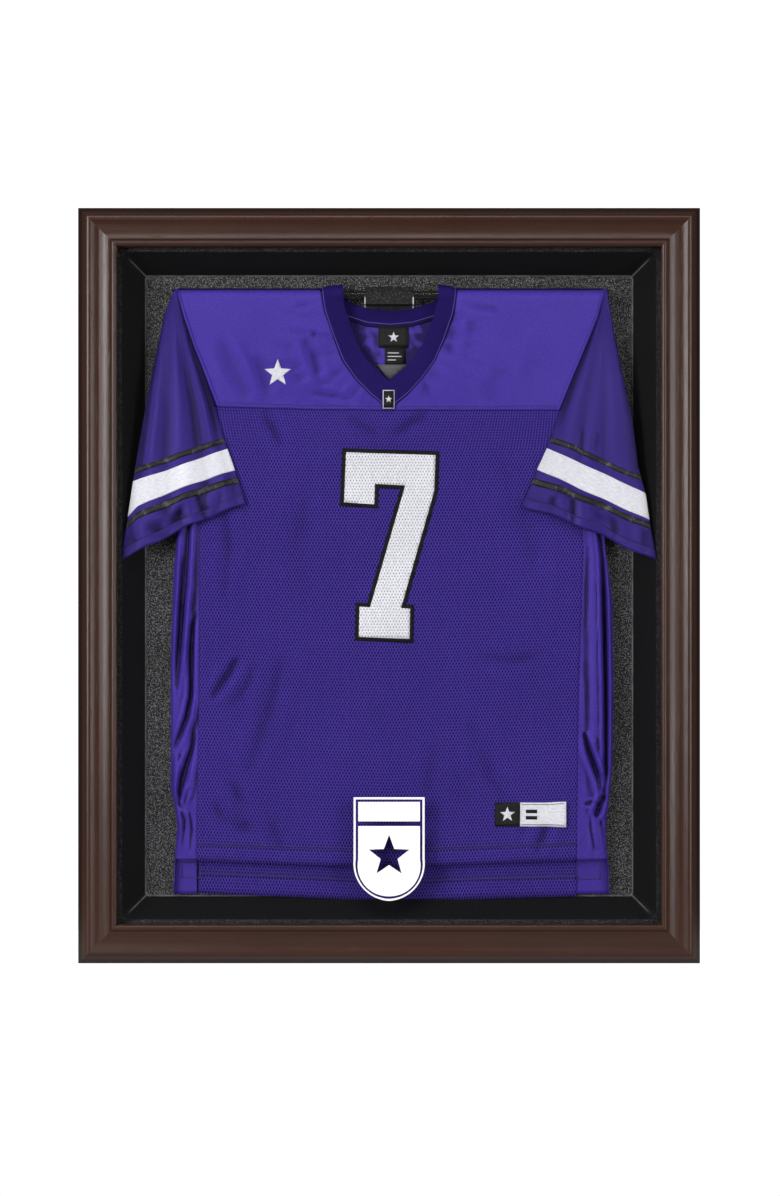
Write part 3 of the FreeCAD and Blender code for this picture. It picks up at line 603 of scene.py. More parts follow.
def foldDepth(spots, reach, closed, gain=4.0):  # how deep each point lies in a fold, from -1 on a crest to 1
    runs = [np.linalg.norm(np.diff(spots, axis=axis), axis=2).mean() for axis in (0, 1)]
    soft = spots
    for axis, run in enumerate(runs):
        count = max(1, round(reach / max(run, 0.1)))
        edges = [(count, count) if n == axis else (0, 0) for n in range(3)]
        padded = np.pad(soft, edges, mode="wrap" if closed and axis == 1 else "edge")
        shifted = [np.take(padded, range(k, k + spots.shape[axis]), axis=axis) for k in range(2 * count + 1)]
        soft = sum(shifted) / len(shifted)
    outward = np.cross(np.gradient(spots, axis=1), np.gradient(spots, axis=0))
    outward /= np.maximum(np.linalg.norm(outward, axis=2, keepdims=True), 1e-9)
    ahead = spots[..., 1] <= np.median(spots[..., 1])
    if outward[..., 1][ahead].mean() > 0:
        outward = -outward
    return np.tanh(((soft - spots) * outward).sum(axis=2) / reach * gain)


def clothGrid(name, material, across, down, at, flat, thick=0.8, closed=False, reach=7.0, shadow=None, gain=4.0):
    # at(u, v) gives millimetres: u runs left to right and v runs down. The knit follows the cut size in flat.
    bm = bmesh.new()
    bmesh.ops.create_grid(bm, x_segments=across, y_segments=down, size=0.5)
    uvLayer = bm.loops.layers.uv.new("cut")
    for face in bm.faces:
        for loop in face.loops:
            co = loop.vert.co
            loop[uvLayer].uv = ((co.x + 0.5) * flat[0] * 0.001, (co.y + 0.5) * flat[1] * 0.001)
    paintedShade = bm.verts.layers.float.new("paintedShade")
    spots, order = np.zeros((down + 1, across + 1, 3)), []
    for vert in bm.verts:
        column, row = round((vert.co.x + 0.5) * across), round((0.5 - vert.co.y) * down)
        point = at(column / across, row / down)
        vert.co = point * 0.001
        spots[row, column] = point
        order.append((row, column))
    # painted shade and highlight from the depth of each fold, plus any painted shadow
    depth = foldDepth(spots, reach, closed, gain)
    for vert, (row, column) in zip(bm.verts, order):
        vert[paintedShade] = depth[row, column] + (shadow(column / across, row / down) if shadow else 0.0)
    if closed:
        bmesh.ops.remove_doubles(bm, verts=bm.verts, dist=0.00002)
        bmesh.ops.recalc_face_normals(bm, faces=bm.faces)
    else:
        faceFront(bm)
    return finishPiece(bm, name, material, thick)


def insideShape(outline, x, z):
    inside = False
    for (xa, za), (xb, zb) in zip(outline, outline[1:] + outline[:1]):
        if (za > z) != (zb > z) and x < (xb - xa) * (z - za) / (zb - za) + xa:
            inside = not inside
    return inside


def clothShape(name, material, outline, at, cell, thick, shadow=None):
    # a grid cut along an outline and laid on a surface
    xs, zs = [p[0] for p in outline], [p[1] for p in outline]
    low, high = Vector((min(xs), min(zs))), Vector((max(xs), max(zs)))
    size = high - low
    bm = bmesh.new()
    across, down = (max(2, round(length / cell)) for length in size)
    bmesh.ops.create_grid(bm, x_segments=across, y_segments=down, size=0.5)
    for vert in bm.verts:
        vert.co = Vector((low.x + (vert.co.x + 0.5) * size.x, low.y + (vert.co.y + 0.5) * size.y, 0))
    for (xa, za), (xb, zb) in zip(outline, outline[1:] + outline[:1]):
        run = Vector((xb - xa, zb - za, 0))
        bmesh.ops.bisect_plane(bm, geom=bm.verts[:] + bm.edges[:] + bm.faces[:], plane_co=Vector((xa, za, 0)),
                               plane_no=Vector((-run.y, run.x, 0)), dist=0.01)
    outside = [f for f in bm.faces if not insideShape(outline, *f.calc_center_median()[:2])]
    bmesh.ops.delete(bm, geom=outside, context="FACES")
    uvLayer = bm.loops.layers.uv.new("cut")
    for face in bm.faces:
        for loop in face.loops:
            loop[uvLayer].uv = (loop.vert.co.x * 0.001, loop.vert.co.y * 0.001)
    paintedShade = bm.verts.layers.float.new("paintedShade")
    # painted shadow, where one is given
    for vert in bm.verts:
        vert[paintedShade] = shadow(vert.co.x, vert.co.y) if shadow else 0.0
        vert.co = at(vert.co.x, vert.co.y) * 0.001
    faceFront(bm)
    return finishPiece(bm, name, material, thick)


def grown(outline, by):  # an outline with every edge moved outwards
    points = [Vector(p) for p in outline]
    area = sum(a.x * b.y - b.x * a.y for a, b in zip(points, points[1:] + points[:1]))
    turn = 1 if area > 0 else -1
    result = []
    for before, here, after in zip(points[-1:] + points[:-1], points, points[1:] + points[:1]):
        a, b = (here - before).normalized(), (after - here).normalized()
        na, nb = Vector((a.y, -a.x)) * turn, Vector((b.y, -b.x)) * turn
        result.append(tuple(here + (na + nb) * by / (1 + na.dot(nb))))
    return result


def box(x0, x1, z0, z1):
    return [(x0, z0), (x1, z0), (x1, z1), (x0, z1)]


cut = {
    "neckLeft": [(-97, 427.7), (-94, 405), (-91, 390), (-79, 355), (-65, 320), (-47, 294), (-25, 272), (-8, 259),
                 (0, 251)],
    "neckRight": [(97, 427.7), (94, 405), (91, 388), (79, 353), (65, 321), (47, 296), (27, 274), (10, 260), (0, 251)],
    "armLeft": [(-305, 427.7), (-291, 382), (-279, 345), (-266, 314), (-251, 275), (-244, 256)],
    "armRight": [(309, 427.7), (298, 385), (281, 343), (262, 300), (242, 251)],
    "seamLeft": [(-244, 256), (-113, 252), (0, 251)],
    "seamRight": [(0, 251), (115, 251), (242, 251)],
    "meshLeft": [(-244, 256), (-262, 206), (-269, 93), (-270, -163), (-274, -388)],
    "meshRight": [(242, 251), (268, 196), (276, 53), (269, -159), (266, -387)],
    "hemFront": [(-274, -388), (-150, -393), (0, -397), (140, -392), (266, -387)],
    "edgeLeft": [(-299, 260), (-303, 49), (-306, 29), (-310, -95), (-310, -288), (-304, -313), (-301, -340),
                 (-304, -379), (-306, -438)],
    "edgeRight": [(302, 260), (308, 49), (317, -15), (319, -135), (317, -255), (311, -313), (308, -340), (309, -372),
                  (312, -400), (313, -440)],
}


def yokeShadow(u, v):  # darker where it rolls over the rod
    return 0.7 * (1 - between(0.0, 0.022, v))


yokes = {
    "Left": patch([cut["armLeft"][0], cut["neckLeft"][0]], cut["seamLeft"], cut["armLeft"], cut["neckLeft"]),
    "Right": patch([cut["neckRight"][0], cut["armRight"][0]], cut["seamRight"], cut["neckRight"], cut["armRight"]),
}


def yokeAt(name):
    return lambda u, v, lift: frontCloth(*yokes[name](u, v), lift)


for name in yokes:
    clothGrid("jerseyYoke" + name, satinCloth, 60, 52, lambda u, v: yokeAt(name)(u, v, 0.35), (230, 178),
              reach=11.0, shadow=yokeShadow)
meshFront = patch(cut["seamLeft"] + cut["seamRight"][1:], cut["hemFront"], cut["meshLeft"], cut["meshRight"])
clothGrid("jerseyMeshFront", meshCloth, 134, 160, lambda u, v: frontCloth(*meshFront(u, v)), (532, 645),
          reach=15.0, gain=7.0)


sideFolds = {
    "Left": [
        (-3.6, 4.2, [(-286, 120), (-287.5, 65), (-290.5, 20), (-295, -35), (-297, -65), (-301, -116), (-303, -146)]),
        (2.2, 3.6, [(-277, 130), (-278, 60), (-281, 0), (-286, -50), (-292, -120), (-297, -160)]),
        (2.0, 3.0, [(-299, 110), (-300, 20), (-304, -60), (-307, -120)]),
        (-3.8, 3.6, [(-271, -34), (-278, -55), (-280, -86), (-280, -122), (-281.5, -158), (-288, -186), (-295, -204),
                     (-309, -236)]),
        (2.2, 3.6, [(-274, -90), (-274, -150), (-278, -185), (-288, -212), (-300, -240)]),
        (-4.0, 4.4, [(-274, -206), (-280, -231), (-289, -258), (-295, -285), (-298, -311)]),
        (2.4, 3.6, [(-302, -236), (-303, -262), (-304, -290), (-301, -312)]),
        (-2.4, 2.6, [(-283, -284), (-288, -298), (-292, -313)]),
        (1.6, 3.0, [(-276, -250), (-280, -280), (-288, -308)]),
        (-1.2, 3.0, [(-309, -300), (-300, -309), (-291, -316)]),
        (-1.2, 2.6, [(-296, -316), (-290, -332), (-292, -352)]),
        (-1.0, 2.2, [(-284, -318), (-280, -345), (-283, -376)]),
        (1.2, 2.4, [(-300, -318), (-296, -345), (-298, -370)]),
    ],
    "Right": [
        (-5.0, 3.4, [(294, 130), (303, 40), (305.5, -40), (307, -120), (308, -200), (308, -262), (306, -306)]),
        (3.0, 2.8, [(303, 130), (311, 20), (314, -80), (315, -180), (314, -260), (310, -304)]),
        (1.8, 7.0, [(286, 130), (288, 40), (290, -60), (292, -160), (290, -240)]),
        (-1.2, 5.0, [(282, 60), (279, 0), (278, -60)]), (-1.0, 4.0, [(296, -60), (298, -140), (297, -200)]),
        (-4.2, 4.2, [(275, -206), (281, -226), (289, -249), (298, -273), (306, -306)]),
        (1.8, 4.0, [(286, -214), (297, -246), (303, -268)]),
        (-5.5, 4.6, [(305, -296), (299, -312), (293, -328)]), (-1.4, 2.6, [(276, -309), (287, -306), (298, -309)]),
        (-1.8, 2.6, [(299, -326), (304, -348), (308, -374)]), (1.6, 3.0, [(290, -322), (292, -345), (296, -372)]),
    ],
}


def sideSheet(side, name, edge, seam, front):  # from the seam round to the widest line, or from there to the back
    edgeAt, seamAt, top, hem = through(edge), through(seam), 255, -387 if front else -438
    deep = [(1.6 * depth, 0.72 * width, line) for depth, width, line in sideFolds[name]]

    def at(u, v):
        h = top + (hem - top) * v
        s = math.sin((u if front else 1 - u) * math.pi / 2)
        seamX, edgeX = seamAt(max(h, -387)), edgeAt(h)
        x = seamX + (edgeX - seamX) * s
        lift = 0.25
        if front:
            lift += bodyRelief(seamX, h) * (1 - s) ** 2 + between(0.0, 0.25, s) * creases(x, h, deep)
            lift += (0.9 * ripple(x, h / 3, 12, 3.0 + side) + 0.6 * ripple(x, h, 22, 7.0)) * math.sin(math.pi * s)
        depth = (hang["wrap"] + lift) * math.sqrt(max(0.0, 1 - s ** 8))
        return Vector((x, hang["rodY"] + (-depth if front else depth), h))
    return at


for side, name in ((-1, "Left"), (1, "Right")):
    edge, seam = cut["edge" + name], cut["mesh" + name]
    clothGrid("jerseySideFront" + name, satinSideInShade, 34, 260, sideSheet(side, name, edge, seam, True), (46, 642),
              thick=0.7, gain=7.5)
    clothGrid("jerseySideBack" + name, satinSideInShade, 20, 120, sideSheet(side, name, edge, seam, False), (46, 693),
              thick=0.7)

scoop = [(-72, 412), (-55, 400), (-31, 391), (2, 388), (33, 391), (62, 400), (78, 412)]
backTop = [(-305, 427.7), (-97, 427.7)] + scoop + [(97, 427.7), (309, 427.7)]
backLeft = [(-305, 427.7), (-280, 330), (-268, 200), (-272, -437)]
backRight = [(309, 427.7), (284, 330), (270, 200), (268, -441)]
backSheet = patch(backTop, [backLeft[-1], (16, -448), backRight[-1]], backLeft, backRight)
clothGrid("jerseyBack", meshCloth, 134, 170, lambda u, v: backCloth(*backSheet(u, v)), (545, 870))
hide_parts("jersey_back")
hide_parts("jersey_front")
print("body cloth ready")


def frontAt(u, v, lift):
    return frontCloth(*meshFront(u, v), lift)


def backAt(u, v, lift):
    point = backCloth(*backSheet(u, v), 0.0)
    point.y -= lift
    return point


def onBack(lift):
    def at(x, h):
        point = backCloth(x, h)
        point.y -= lift
        return point
    return at


def onFront(lift):
    return lambda x, h: frontCloth(x, h, lift)


trim = []
bands = {  # finish, surface, steps across, from and to down the sheet, flat size, lift, rows, thickness
    "hemFront": (meshCloth, frontAt, 120, 0.966, 1.0, (532, 22), 0.8, 3, 0.7),
    "hemBack": (meshCloth, backAt, 120, 0.968, 1.0, (540, 26), 0.8, 3, 0.7),
    "yokeSeamLeft": (satinCloth, yokeAt("Left"), 60, 0.975, 1.0, (230, 5), 1.0, 2, 0.7),
    "yokeSeamRight": (satinCloth, yokeAt("Right"), 60, 0.975, 1.0, (230, 5), 1.0, 2, 0.7),
    "yokeStitchLeft": (darkThread, yokeAt("Left"), 120, 0.962, 0.968, (532, 1), 0.7, 1, 0.3),
    "yokeStitchRight": (darkThread, yokeAt("Right"), 120, 0.962, 0.968, (532, 1), 0.7, 1, 0.3),
    "hemStitchFrontA": (darkThread, frontAt, 120, 0.9655, 0.9672, (532, 1), 1.7, 1, 0.3),
    "hemStitchFrontB": (darkThread, frontAt, 120, 0.9605, 0.9622, (532, 1), 0.6, 1, 0.3),
    "hemStitchBackA": (darkThread, backAt, 120, 0.9665, 0.9690, (532, 1), 1.7, 1, 0.3),
    "hemStitchBackB": (darkThread, backAt, 120, 0.9610, 0.9622, (532, 1), 0.6, 1, 0.3),
}
for name, (material, at, across, start, end, flat, lift, rows, thick) in bands.items():
    trim.append(clothGrid(name, material, across, rows,
                          lambda u, v: at(u, start + (end - start) * v, lift), flat, thick))


def shoulderAt(u, v, start, end):
    return frontPoint(start + (end - start) * u, 434.5 - 9 * v, 2.4 * math.sin(math.pi * min(1, 0.12 + v)))


for name, start, end in (("Left", -302, -96), ("Right", 96, 306)):  # painted shadow: a dark satin strip over each shoulder seam
    trim.append(clothGrid("shoulderShadowStrip" + name, darkSatin, 60, 8, lambda u, v: shoulderAt(u, v, start, end),
                          (206, 9), thick=1.0))
vents = {"Left": (-296, -265, -415, -393), "Right": (267, 301, -417, -388)}  # the stitched squares at the hem's sides
for name, (x0, x1, z0, z1) in vents.items():
    for part, edges in (("Top", (x0, x1, z1 - 1, z1)), ("Low", (x0, x1, z0, z0 + 1.3)),
                        ("In", (x0, x0 + 1, z0, z1)), ("Out", (x1 - 1, x1, z0, z1))):
        trim.append(clothShape("hemVent" + part + name, darkThread, box(*edges), onBack(1.0), 5, 0.3))

sleeves = {  # folds run from the outer edge, 0, to the armhole edge, 1, and open out down the sleeve
    "Left": {
        "side": -1, "depth": 4.6,
        "outer": [(-304, 422), (-318, 389), (-334, 311), (-341, 278), (-358, 177), (-370, 96), (-376, 62), (-377, 40)],
        "inner": [(-302, 421), (-291, 381), (-280, 345), (-267, 312), (-251, 268), (-238, 222), (-219, 167),
                  (-203, 117)],
        "folds": [(0.0, 0.0), (0.04, -0.1), (0.17, 1.0), (0.36, 0.0), (0.54, 0.95), (0.73, -0.8), (0.87, 0.8),
                  (0.95, -0.5), (1.0, 0.1)],
        "upper": [(0.0, 0.665, 0.687), (1.0, 0.690, 0.715)],
        "white": [(0.0, 0.713, 0.845), (0.1, 0.716, 0.822), (0.4, 0.728, 0.824), (0.65, 0.735, 0.832),
                  (1.0, 0.741, 0.842)],
        "lower": [(0.0, 0.868, 0.893), (0.1, 0.846, 0.873), (0.4, 0.850, 0.878), (0.65, 0.860, 0.889),
                  (1.0, 0.873, 0.904)],
        "crumple": [(-2.2, 0.030, [(0.40, 0.93), (0.52, 0.97), (0.56, 1.01)]),
                    (-2.0, 0.028, [(0.62, 0.87), (0.64, 0.94), (0.70, 1.01)]),
                    (2.0, 0.05, [(0.72, 0.90), (0.80, 0.96)]),
                    (-1.8, 0.022, [(0.20, 0.93), (0.36, 0.985), (0.52, 0.985)]),
                    (-2.0, 0.025, [(0.03, 0.93), (0.10, 0.97), (0.11, 1.01)]),
                    (-1.6, 0.02, [(0.50, 0.90), (0.47, 0.97)])],
    },
    "Right": {
        "side": 1, "depth": 3.4,
        "outer": [(309, 422), (319, 360), (333, 293), (345, 232), (352, 172), (363, 130), (368, 94), (378, 37)],
        "inner": [(306, 421), (297, 384), (281, 341), (262, 298), (245, 255), (229, 208), (209, 165), (189, 114)],
        "folds": [(0.0, 0.0), (0.04, 0.0), (0.30, 0.7), (0.44, 0.2), (0.56, 0.6), (0.68, 0.1), (0.84, 0.9), (1.0, 0.1)],
        "upper": [(0.0, 0.686, 0.708), (0.3, 0.690, 0.712), (0.7, 0.676, 0.700), (1.0, 0.678, 0.704)],
        "white": [(0.0, 0.752, 0.851), (0.5, 0.742, 0.846), (1.0, 0.730, 0.829)],
        "lower": [(0.0, 0.864, 0.889), (0.5, 0.862, 0.890), (1.0, 0.866, 0.896)],
        "crumple": [(-1.8, 0.025, [(0.66, 0.90), (0.62, 0.95), (0.64, 1.01)]),
                    (-1.4, 0.03, [(0.80, 0.92), (0.78, 1.01)]),
                    (-1.4, 0.03, [(0.30, 0.90), (0.34, 1.01)]),
                    (-1.2, 0.02, [(0.66, 0.60), (0.64, 0.66), (0.66, 0.73)]),
                    (-1.2, 0.02, [(0.50, 0.58), (0.52, 0.67)]), (1.2, 0.03, [(0.58, 0.58), (0.58, 0.69)]),
                    (-1.4, 0.025, [(0.05, 0.90), (0.10, 1.01)])],
    },
}


def sleeveSurface(plan):  # a point on the sleeve: turn runs right round it, v runs down from the shoulder
    outer, inner, side = plan["outer"], plan["inner"], plan["side"]
    outerAt, innerAt, foldAt = through(outer), through(inner), waves(plan["folds"])
    topO, endO, topI, endI = outer[0][1], outer[-1][1], inner[0][1], inner[-1][1]

    def at(turn, v, lift=0.0):
        s = 0.5 - 0.5 * math.copysign(abs(math.cos(turn)) ** 0.85, math.cos(turn))
        face = math.copysign(abs(math.sin(turn)) ** 0.55, math.sin(turn))
        zo, zi = topO + (endO - topO) * v, topI + (endI - topI) * v
        a, b = Vector((outerAt(zo), zo)), Vector((innerAt(zi), zi))
        flat = a.lerp(b, s)
        flat.y += (6.0 * math.sin(math.pi * s) * (0.3 + s) + 1.6 * math.sin(17 * s + side)) * v ** 6
        relief = plan["depth"] * foldAt(s) * between(0.0, 0.60, v) * (1 - 0.5 * between(0.62, 0.74, v))
        relief += 0.7 * between(0.1, 0.5, v) * ripple(s * 70, v * 120, 30, 11.0 * side) * math.sin(math.pi * s)
        if v > 0.5:
            relief += 1.3 * creases(s, v, plan["crumple"])
            relief += 1.4 * between(0.84, 0.96, v) * ripple(s * 120, v * 300, 13, 5.0) * math.sin(math.pi * s) ** 0.5
        centre = -36.8 - 11.8 * v ** 1.15 * (1 - s) - 1.6 * v
        half = 0.5 + 1.9 * between(0.0, 0.25, v)
        y = max(-57.2, centre - face * half - relief * (0.5 + 0.5 * face) - lift * face)
        spread = 1 + lift * 0.0025 * (abs(math.cos(turn)) ** 3)
        mid = (a + b) / 2
        flat = mid + (flat - mid) * spread
        return Vector((flat.x, y, flat.y))
    return at


def sleeveStrip(name, material, surface, rows, count, lift, flat, thick=0.5):
    low, high = through([(a, b) for a, b, _ in rows], 0), through([(a, c) for a, _, c in rows], 0)

    def at(u, v):
        turn = 2 * math.pi * u
        s = 0.5 - 0.5 * math.cos(turn)
        return surface(turn, low(s) + (high(s) - low(s)) * v, lift)
    return clothGrid(name, material, 150, count, at, flat, thick, closed=True, reach=9.0)


def sleeveShadow(u, v):  # painted shade: darker where it turns away at its outer edge, under the armhole and towards the cuff
    s = 0.5 - 0.5 * math.cos(2 * math.pi * u)
    outerEdge = 0.75 * (1 - between(0.0, 0.16 + 0.1 * v, s)) * (1 - between(0.66, 0.8, v))
    armhole = 0.85 * between(0.84, 0.97, s) * (1 - between(0.5, 0.7, v))
    return outerEdge + armhole + 0.25 * between(0.80, 0.9, v)


for inward, name in ((1, "Left"), (-1, "Right")):
    armAt = along(cut["arm" + name])

    def besideArm(u, v, start, end, lift, crown):
        flat = armAt(u)
        return frontCloth(flat.x + inward * (start + (end - start) * v), flat.y, lift + crown * math.sin(math.pi * v))
    trim.append(clothGrid("armSeam" + name, satinCloth, 70, 6,
                          lambda u, v: besideArm(u, v, 5.0, -0.3, 0.9, 1.2), (6, 180), thick=0.6, reach=3.0))
    # painted shadow: a dark satin strip along the armhole seam
    trim.append(clothGrid("armShadowStrip" + name, darkSatin, 70, 3,
                          lambda u, v: besideArm(u, v, 1.5, -5.0, 0.5, 0.0), (6, 180), thick=0.4, reach=3.0))
for name, plan in sleeves.items():
    surface = sleeveSurface(plan)
    tube = clothGrid("jerseySleeve" + name, satinSleeveInShade, 150, 110, lambda u, v: surface(2 * math.pi * u, v),
                     (330, 340), thick=0.7, closed=True, reach=9.0, shadow=sleeveShadow)
    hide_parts("jersey_sleeve_" + name.lower())
    cuff, stitch = [(0.0, 0.962, 1.002), (1.0, 0.955, 1.002)], [(0.0, 0.966, 0.969), (1.0, 0.960, 0.9635)]
    bands = [
        sleeveStrip("sleeveStripeUpper" + name, stripeSatin, surface, plan["upper"], 3, 0.55, (300, 9)),
        sleeveStrip("sleeveStripeWhite" + name, whiteTwill, surface, plan["white"], 16, 0.55, (300, 45)),
        sleeveStrip("sleeveStripeLower" + name, stripeSatin, surface, plan["lower"], 3, 0.55, (300, 9)),
        sleeveStrip("sleeveCuff" + name, satinSleeveInShade, surface, cuff, 4, 0.6, (300, 14)),
        sleeveStrip("sleeveCuffStitch" + name, darkThread, surface, stitch, 1, 1.1, (300, 1), 0.2),
    ]
print("sleeves ready")


collar = {
    "outer": [(-97, 431), (-94, 405), (-91, 390), (-79, 355), (-65, 320), (-47, 294), (-25, 272), (-8, 258), (0, 251),
              (10, 260), (27, 274), (47, 296), (65, 321), (79, 353), (91, 388), (94, 405), (97, 431)],
    "inner": [(-65, 431), (-64, 405), (-62, 395), (-57, 380), (-47, 349), (-34, 326), (-20, 310), (-6, 298), (0, 293),
              (6, 299), (18, 308), (36, 326), (50, 349), (62, 380), (67, 400), (69, 410), (70, 431)],
}


def collarAt(u, v):
    out, inn = along(collar["outer"])(u), along(collar["inner"])(u)
    flat = out.lerp(inn, v)
    crown = 1.1 * math.sin(math.pi * min(max(v, 0), 1)) ** 0.7
    return frontPoint(flat.x, flat.y, 1.6 + crown + (1.2 + 5.0 * v) * between(404, 424, flat.y))


trim.append(clothGrid("collarStitch", purpleThread, 150, 1,
                      lambda u, v: collarAt(u, 0.06 - 0.025 * v) - Vector((0, 0.5, 0)), (400, 1), thick=0.3))
clothGrid("jerseyCollar", ribCloth, 150, 12, collarAt, (36, 400), thick=1.2)
neckUpper = [(-82, 431), (-68, 416), (-55, 406), (-31, 397), (4, 394), (33, 397), (62, 406), (74, 416), (88, 431)]
neckLower = [(-96, 415), (-76, 398), (-59, 386), (-31, 377), (1, 374), (33, 377), (63, 386), (82, 398), (100, 415)]


def neckAt(u, v, lift=0.0):
    flat = along(neckUpper)(u).lerp(along(neckLower)(u), v)
    point = frontPoint(flat.x, flat.y, 0.0)
    point.y = 2 * hang["rodY"] - point.y - 1.2 - 0.8 * math.sin(math.pi * v) - lift
    return point


clothGrid("jerseyNeckRib", ribCloth, 90, 8, neckAt, (24, 190), thick=1.0)
trim.append(clothGrid("neckTape", darkSatin, 90, 2, lambda u, v: neckAt(u, 0.98 + 0.30 * v, 0.3), (190, 6), 0.5))
trim.append(clothGrid("neckStitch", purpleThread, 90, 1, lambda u, v: neckAt(u, 0.95 + 0.05 * v, 1.2), (190, 1), 0.3))


def star(x, z, radius, inner=0.42):
    return [(x + radius * (1 if i % 2 == 0 else inner) * math.sin(math.pi * i / 5),
             z + radius * (1 if i % 2 == 0 else inner) * math.cos(math.pi * i / 5)) for i in range(10)]


lining = [(-78, 388), (-59, 380), (-31, 371), (1, 368), (33, 371), (63, 380), (82, 388), (76, 350), (46, 312),
          (4, 282), (-40, 312), (-70, 350)]


def liningShadow(x, h):  # painted shade: some all over, more in the shade of the collar in front of it, and painted shade and highlight of small folds and one crease
    here, edge = Vector((x, h)), [Vector(p) for p in collar["inner"]]
    near = min((here - a.lerp(b, min(max((here - a).dot(b - a) / (b - a).length_squared, 0), 1))).length
               for a, b in zip(edge, edge[1:]))
    folds = 1.3 * ripple(x + 0.5 * h, h, 11, 4.0) + 0.5 * hump(h - 376, 6)
    return 0.40 + 0.8 * (1 - between(0, 18, near)) + folds


labels = {
    "neckLining": (satinCloth, lining, onBack(1.0), 4),
    "neckLabel": (blackSatin, box(-15, 28, 341, 372), onBack(2.2), 6),
    "neckLabelStar": (whiteThread, star(6.5, 356, 8), onBack(2.9), 4),
    "careLabel": (blackSatin, box(-6, 23, 315, 342), onBack(2.6), 6),
    "careLabelLineA": (whiteThread, box(-2, 14, 333, 334.2), onBack(3.3), 4),
    "careLabelLineB": (whiteThread, box(-2, 18, 328, 329.2), onBack(3.3), 4),
    "careLabelLineC": (whiteThread, box(-2, 10, 323, 324.2), onBack(3.3), 4),
    "hangTag": (greyCard, [(-18, 317), (1, 293), (27, 317)], onBack(3.6), 6),
    "neckPatch": (blackSatin, box(-7.8, 6.6, 254, 278), onFront(4.2), 5),
    "neckPatchBorder": (whiteThread, grown(box(-7.8, 6.6, 254, 278), 1.2), onFront(3.7), 5),
    "neckPatchStar": (whiteThread, star(-0.6, 266, 5.4), onFront(4.8), 3),
    "chestStar": (whiteTwill, star(-158, 303, 20), onFront(1.0), 5),
}
for name, (material, outline, at, cell) in labels.items():
    trim.append(clothShape(name, material, outline, at, cell, 0.4, liningShadow if name == "neckLining" else None))
print("collar and labels ready")


numeral = [(-61, 191), (66, 187), (64, 136), (17, -30), (30, -31), (29, -74), (-43, -71), (-42, -28), (-27, -29),
           (23, 144), (-20, 146), (-21, 117), (-64, 120)]
numberBorder = clothShape("numberBorder", blackOnMesh, grown(numeral, 5.6), onFront(0.7), 6, 0.5)
numberFill = clothShape("numberFill", whiteOnMesh, numeral, onFront(1.3), 6, 0.5)
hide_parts("jersey_number")
trim += [numberBorder, numberFill]

def patchLift(x, h, lift):  # its right end has come loose and curls forward
    loose = between(218, 251, x)
    point = frontCloth(x, h, lift + 4.6 * loose ** 2)
    point.z += 1.6 * loose * (1 if h > -323 else -0.4)
    return point


left, split, right, low, high = 150, 186, 251, -340, -306  # black up to the split, then white
hemPatch = {
    "hemPatchBlack": (blackSatin, box(left, split, low, high), 1.3, 5),
    "hemPatchWhite": (whiteTwill, box(split, right, low, high), 1.3, 5),
    "hemPatchStar": (whiteTwill, star(left + 18, low + 17, 11), 1.8, 4),
    "hemPatchLineTop": (greyCard, box(split + 2, right - 3, high - 3.2, high - 2.4), 1.8, 5),
    "hemPatchLineLow": (greyCard, box(split + 2, right - 3, low + 2.4, low + 3.2), 1.8, 5),
    "hemPatchMarkTop": (blackSatin, box(split + 8, split + 24, low + 19, high - 10), 1.8, 4),
    "hemPatchMarkLow": (blackSatin, box(split + 8, split + 24, low + 10, high - 19), 1.8, 4),
}
for name, (material, outline, lift, cell) in hemPatch.items():
    piece = clothShape(name, material, outline, lambda x, h: patchLift(x, h, lift), cell, 0.4)
    trim.append(piece)
    if name == "hemPatchWhite":
        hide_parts("jersey_size_tag")
print("numeral and patches ready")

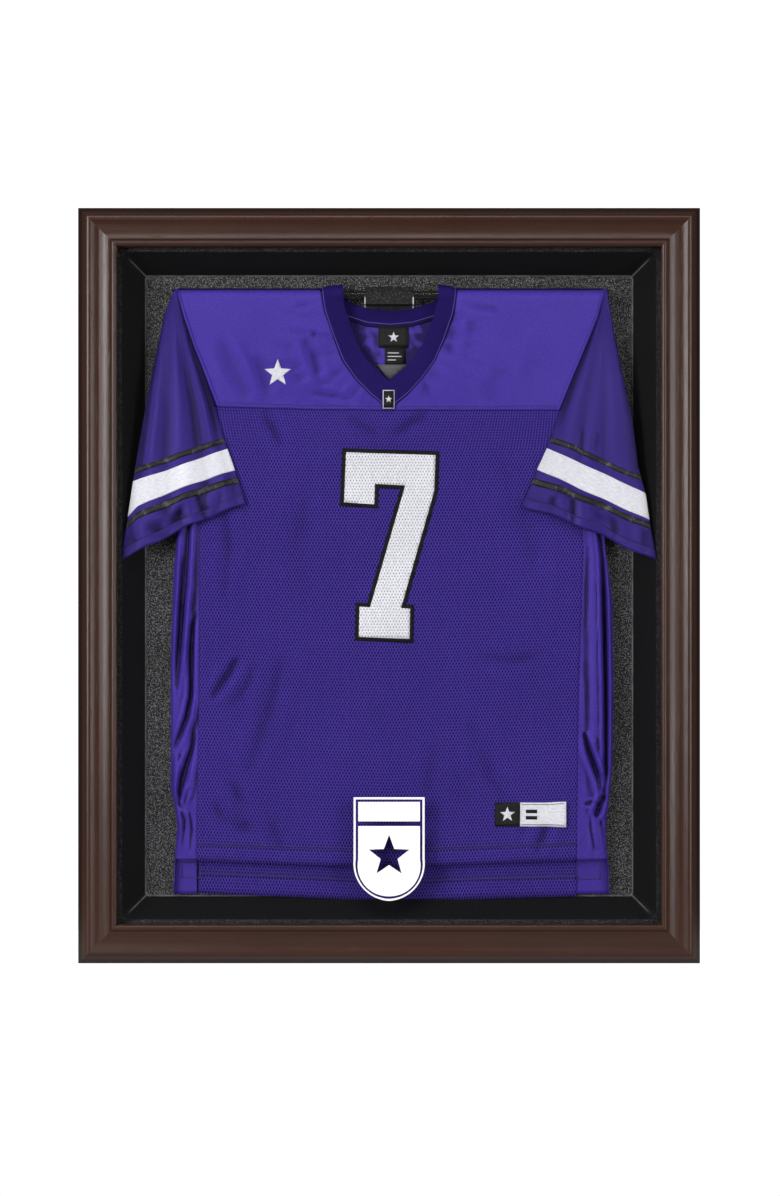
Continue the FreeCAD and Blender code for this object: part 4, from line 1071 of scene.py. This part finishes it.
for name in yokes:
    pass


studio = {
    "floorZ": cadLow.z - 0.001, "floorHalf": 0.75, "floorFront": -0.36, "floorBack": 0.30,
    "camera": (0.0013, -3.570, -0.0174), "lens": 75.0,
}
bm = bmesh.new()
bmesh.ops.create_grid(bm, x_segments=1, y_segments=1, size=1.0)
for vert in bm.verts:
    vert.co = Vector((vert.co.x * studio["floorHalf"],
                      studio["floorBack"] if vert.co.y > 0 else studio["floorFront"], studio["floorZ"]))
floorMesh = bpy.data.meshes.new("studioFloor")
bm.to_mesh(floorMesh)
bm.free()
floor = bpy.data.objects.new("studioFloor", floorMesh)
scene.collection.objects.link(floor)
floorPaint, floorShader = startMaterial("floorPaint", Base_Color=(0.30, 0.30, 0.30, 1), Roughness=0.9,
                                        Emission_Color=(1, 1, 1, 1))
floorMesh.materials.append(floorPaint)
seen = newNode("LightPath").outputs["Is Camera Ray"]
give(floorShader, Emission_Strength=ramp(seen, 0.0, 1.0, 0.30, 1.0))
floor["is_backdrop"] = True

lamps = {  # place, what it faces, width, height, power
    "keyLamp": ((-2.3, -3.0, 0.6), (0.0, 0.0, 0.0), 1.5, 2.0, 128),
    "fillLamp": ((2.4, -2.8, 0.2), (0.0, 0.0, 0.0), 1.4, 2.0, 68),
    "backLamp": ((1.4, 3.0, 1.4), (0.0, 0.0, 0.0), 2.0, 2.0, 90),
    "topLamp": ((-0.3, -2.6, 3.4), (0.0, 0.0, 0.0), 2.6, 1.4, 58),
}
for name, (where, aim, width, height, power) in lamps.items():
    data = bpy.data.lights.new(name, "AREA")
    data.shape, data.size, data.size_y, data.energy = "RECTANGLE", width, height, power
    lamp = bpy.data.objects.new(name, data)
    lamp.location = where
    lamp.rotation_euler = (Vector(aim) - Vector(where)).to_track_quat("-Z", "Y").to_euler()
    scene.collection.objects.link(lamp)

world = bpy.data.worlds.new("studioAir")
scene.world = world
world.use_nodes = True
tree = work["tree"] = world.node_tree
dim = give(tree.nodes["Background"], Color=(1, 1, 1, 1), Strength=0.12)
plainWhite = newNode("Background", Color=(1, 1, 1, 1), Strength=1.05)
choose = newNode("MixShader")
for number, value in enumerate((newNode("LightPath").outputs["Is Camera Ray"], dim.outputs[0], plainWhite.outputs[0])):
    feed(choose.inputs[number], value)
give(tree.nodes["World Output"], Surface=choose.outputs[0])

lens = bpy.data.cameras.new("camera")
lens.lens, lens.sensor_width, lens.sensor_fit = studio["lens"], 36, "AUTO"
lens.clip_start, lens.clip_end = 0.05, 50
camera = bpy.data.objects.new("camera", lens)
camera.location, camera.rotation_euler = studio["camera"], (math.pi / 2, 0, 0)
scene.collection.objects.link(camera)
scene.camera = camera
scene.view_settings.view_transform = "Standard"
print("studio ready")

low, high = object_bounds()
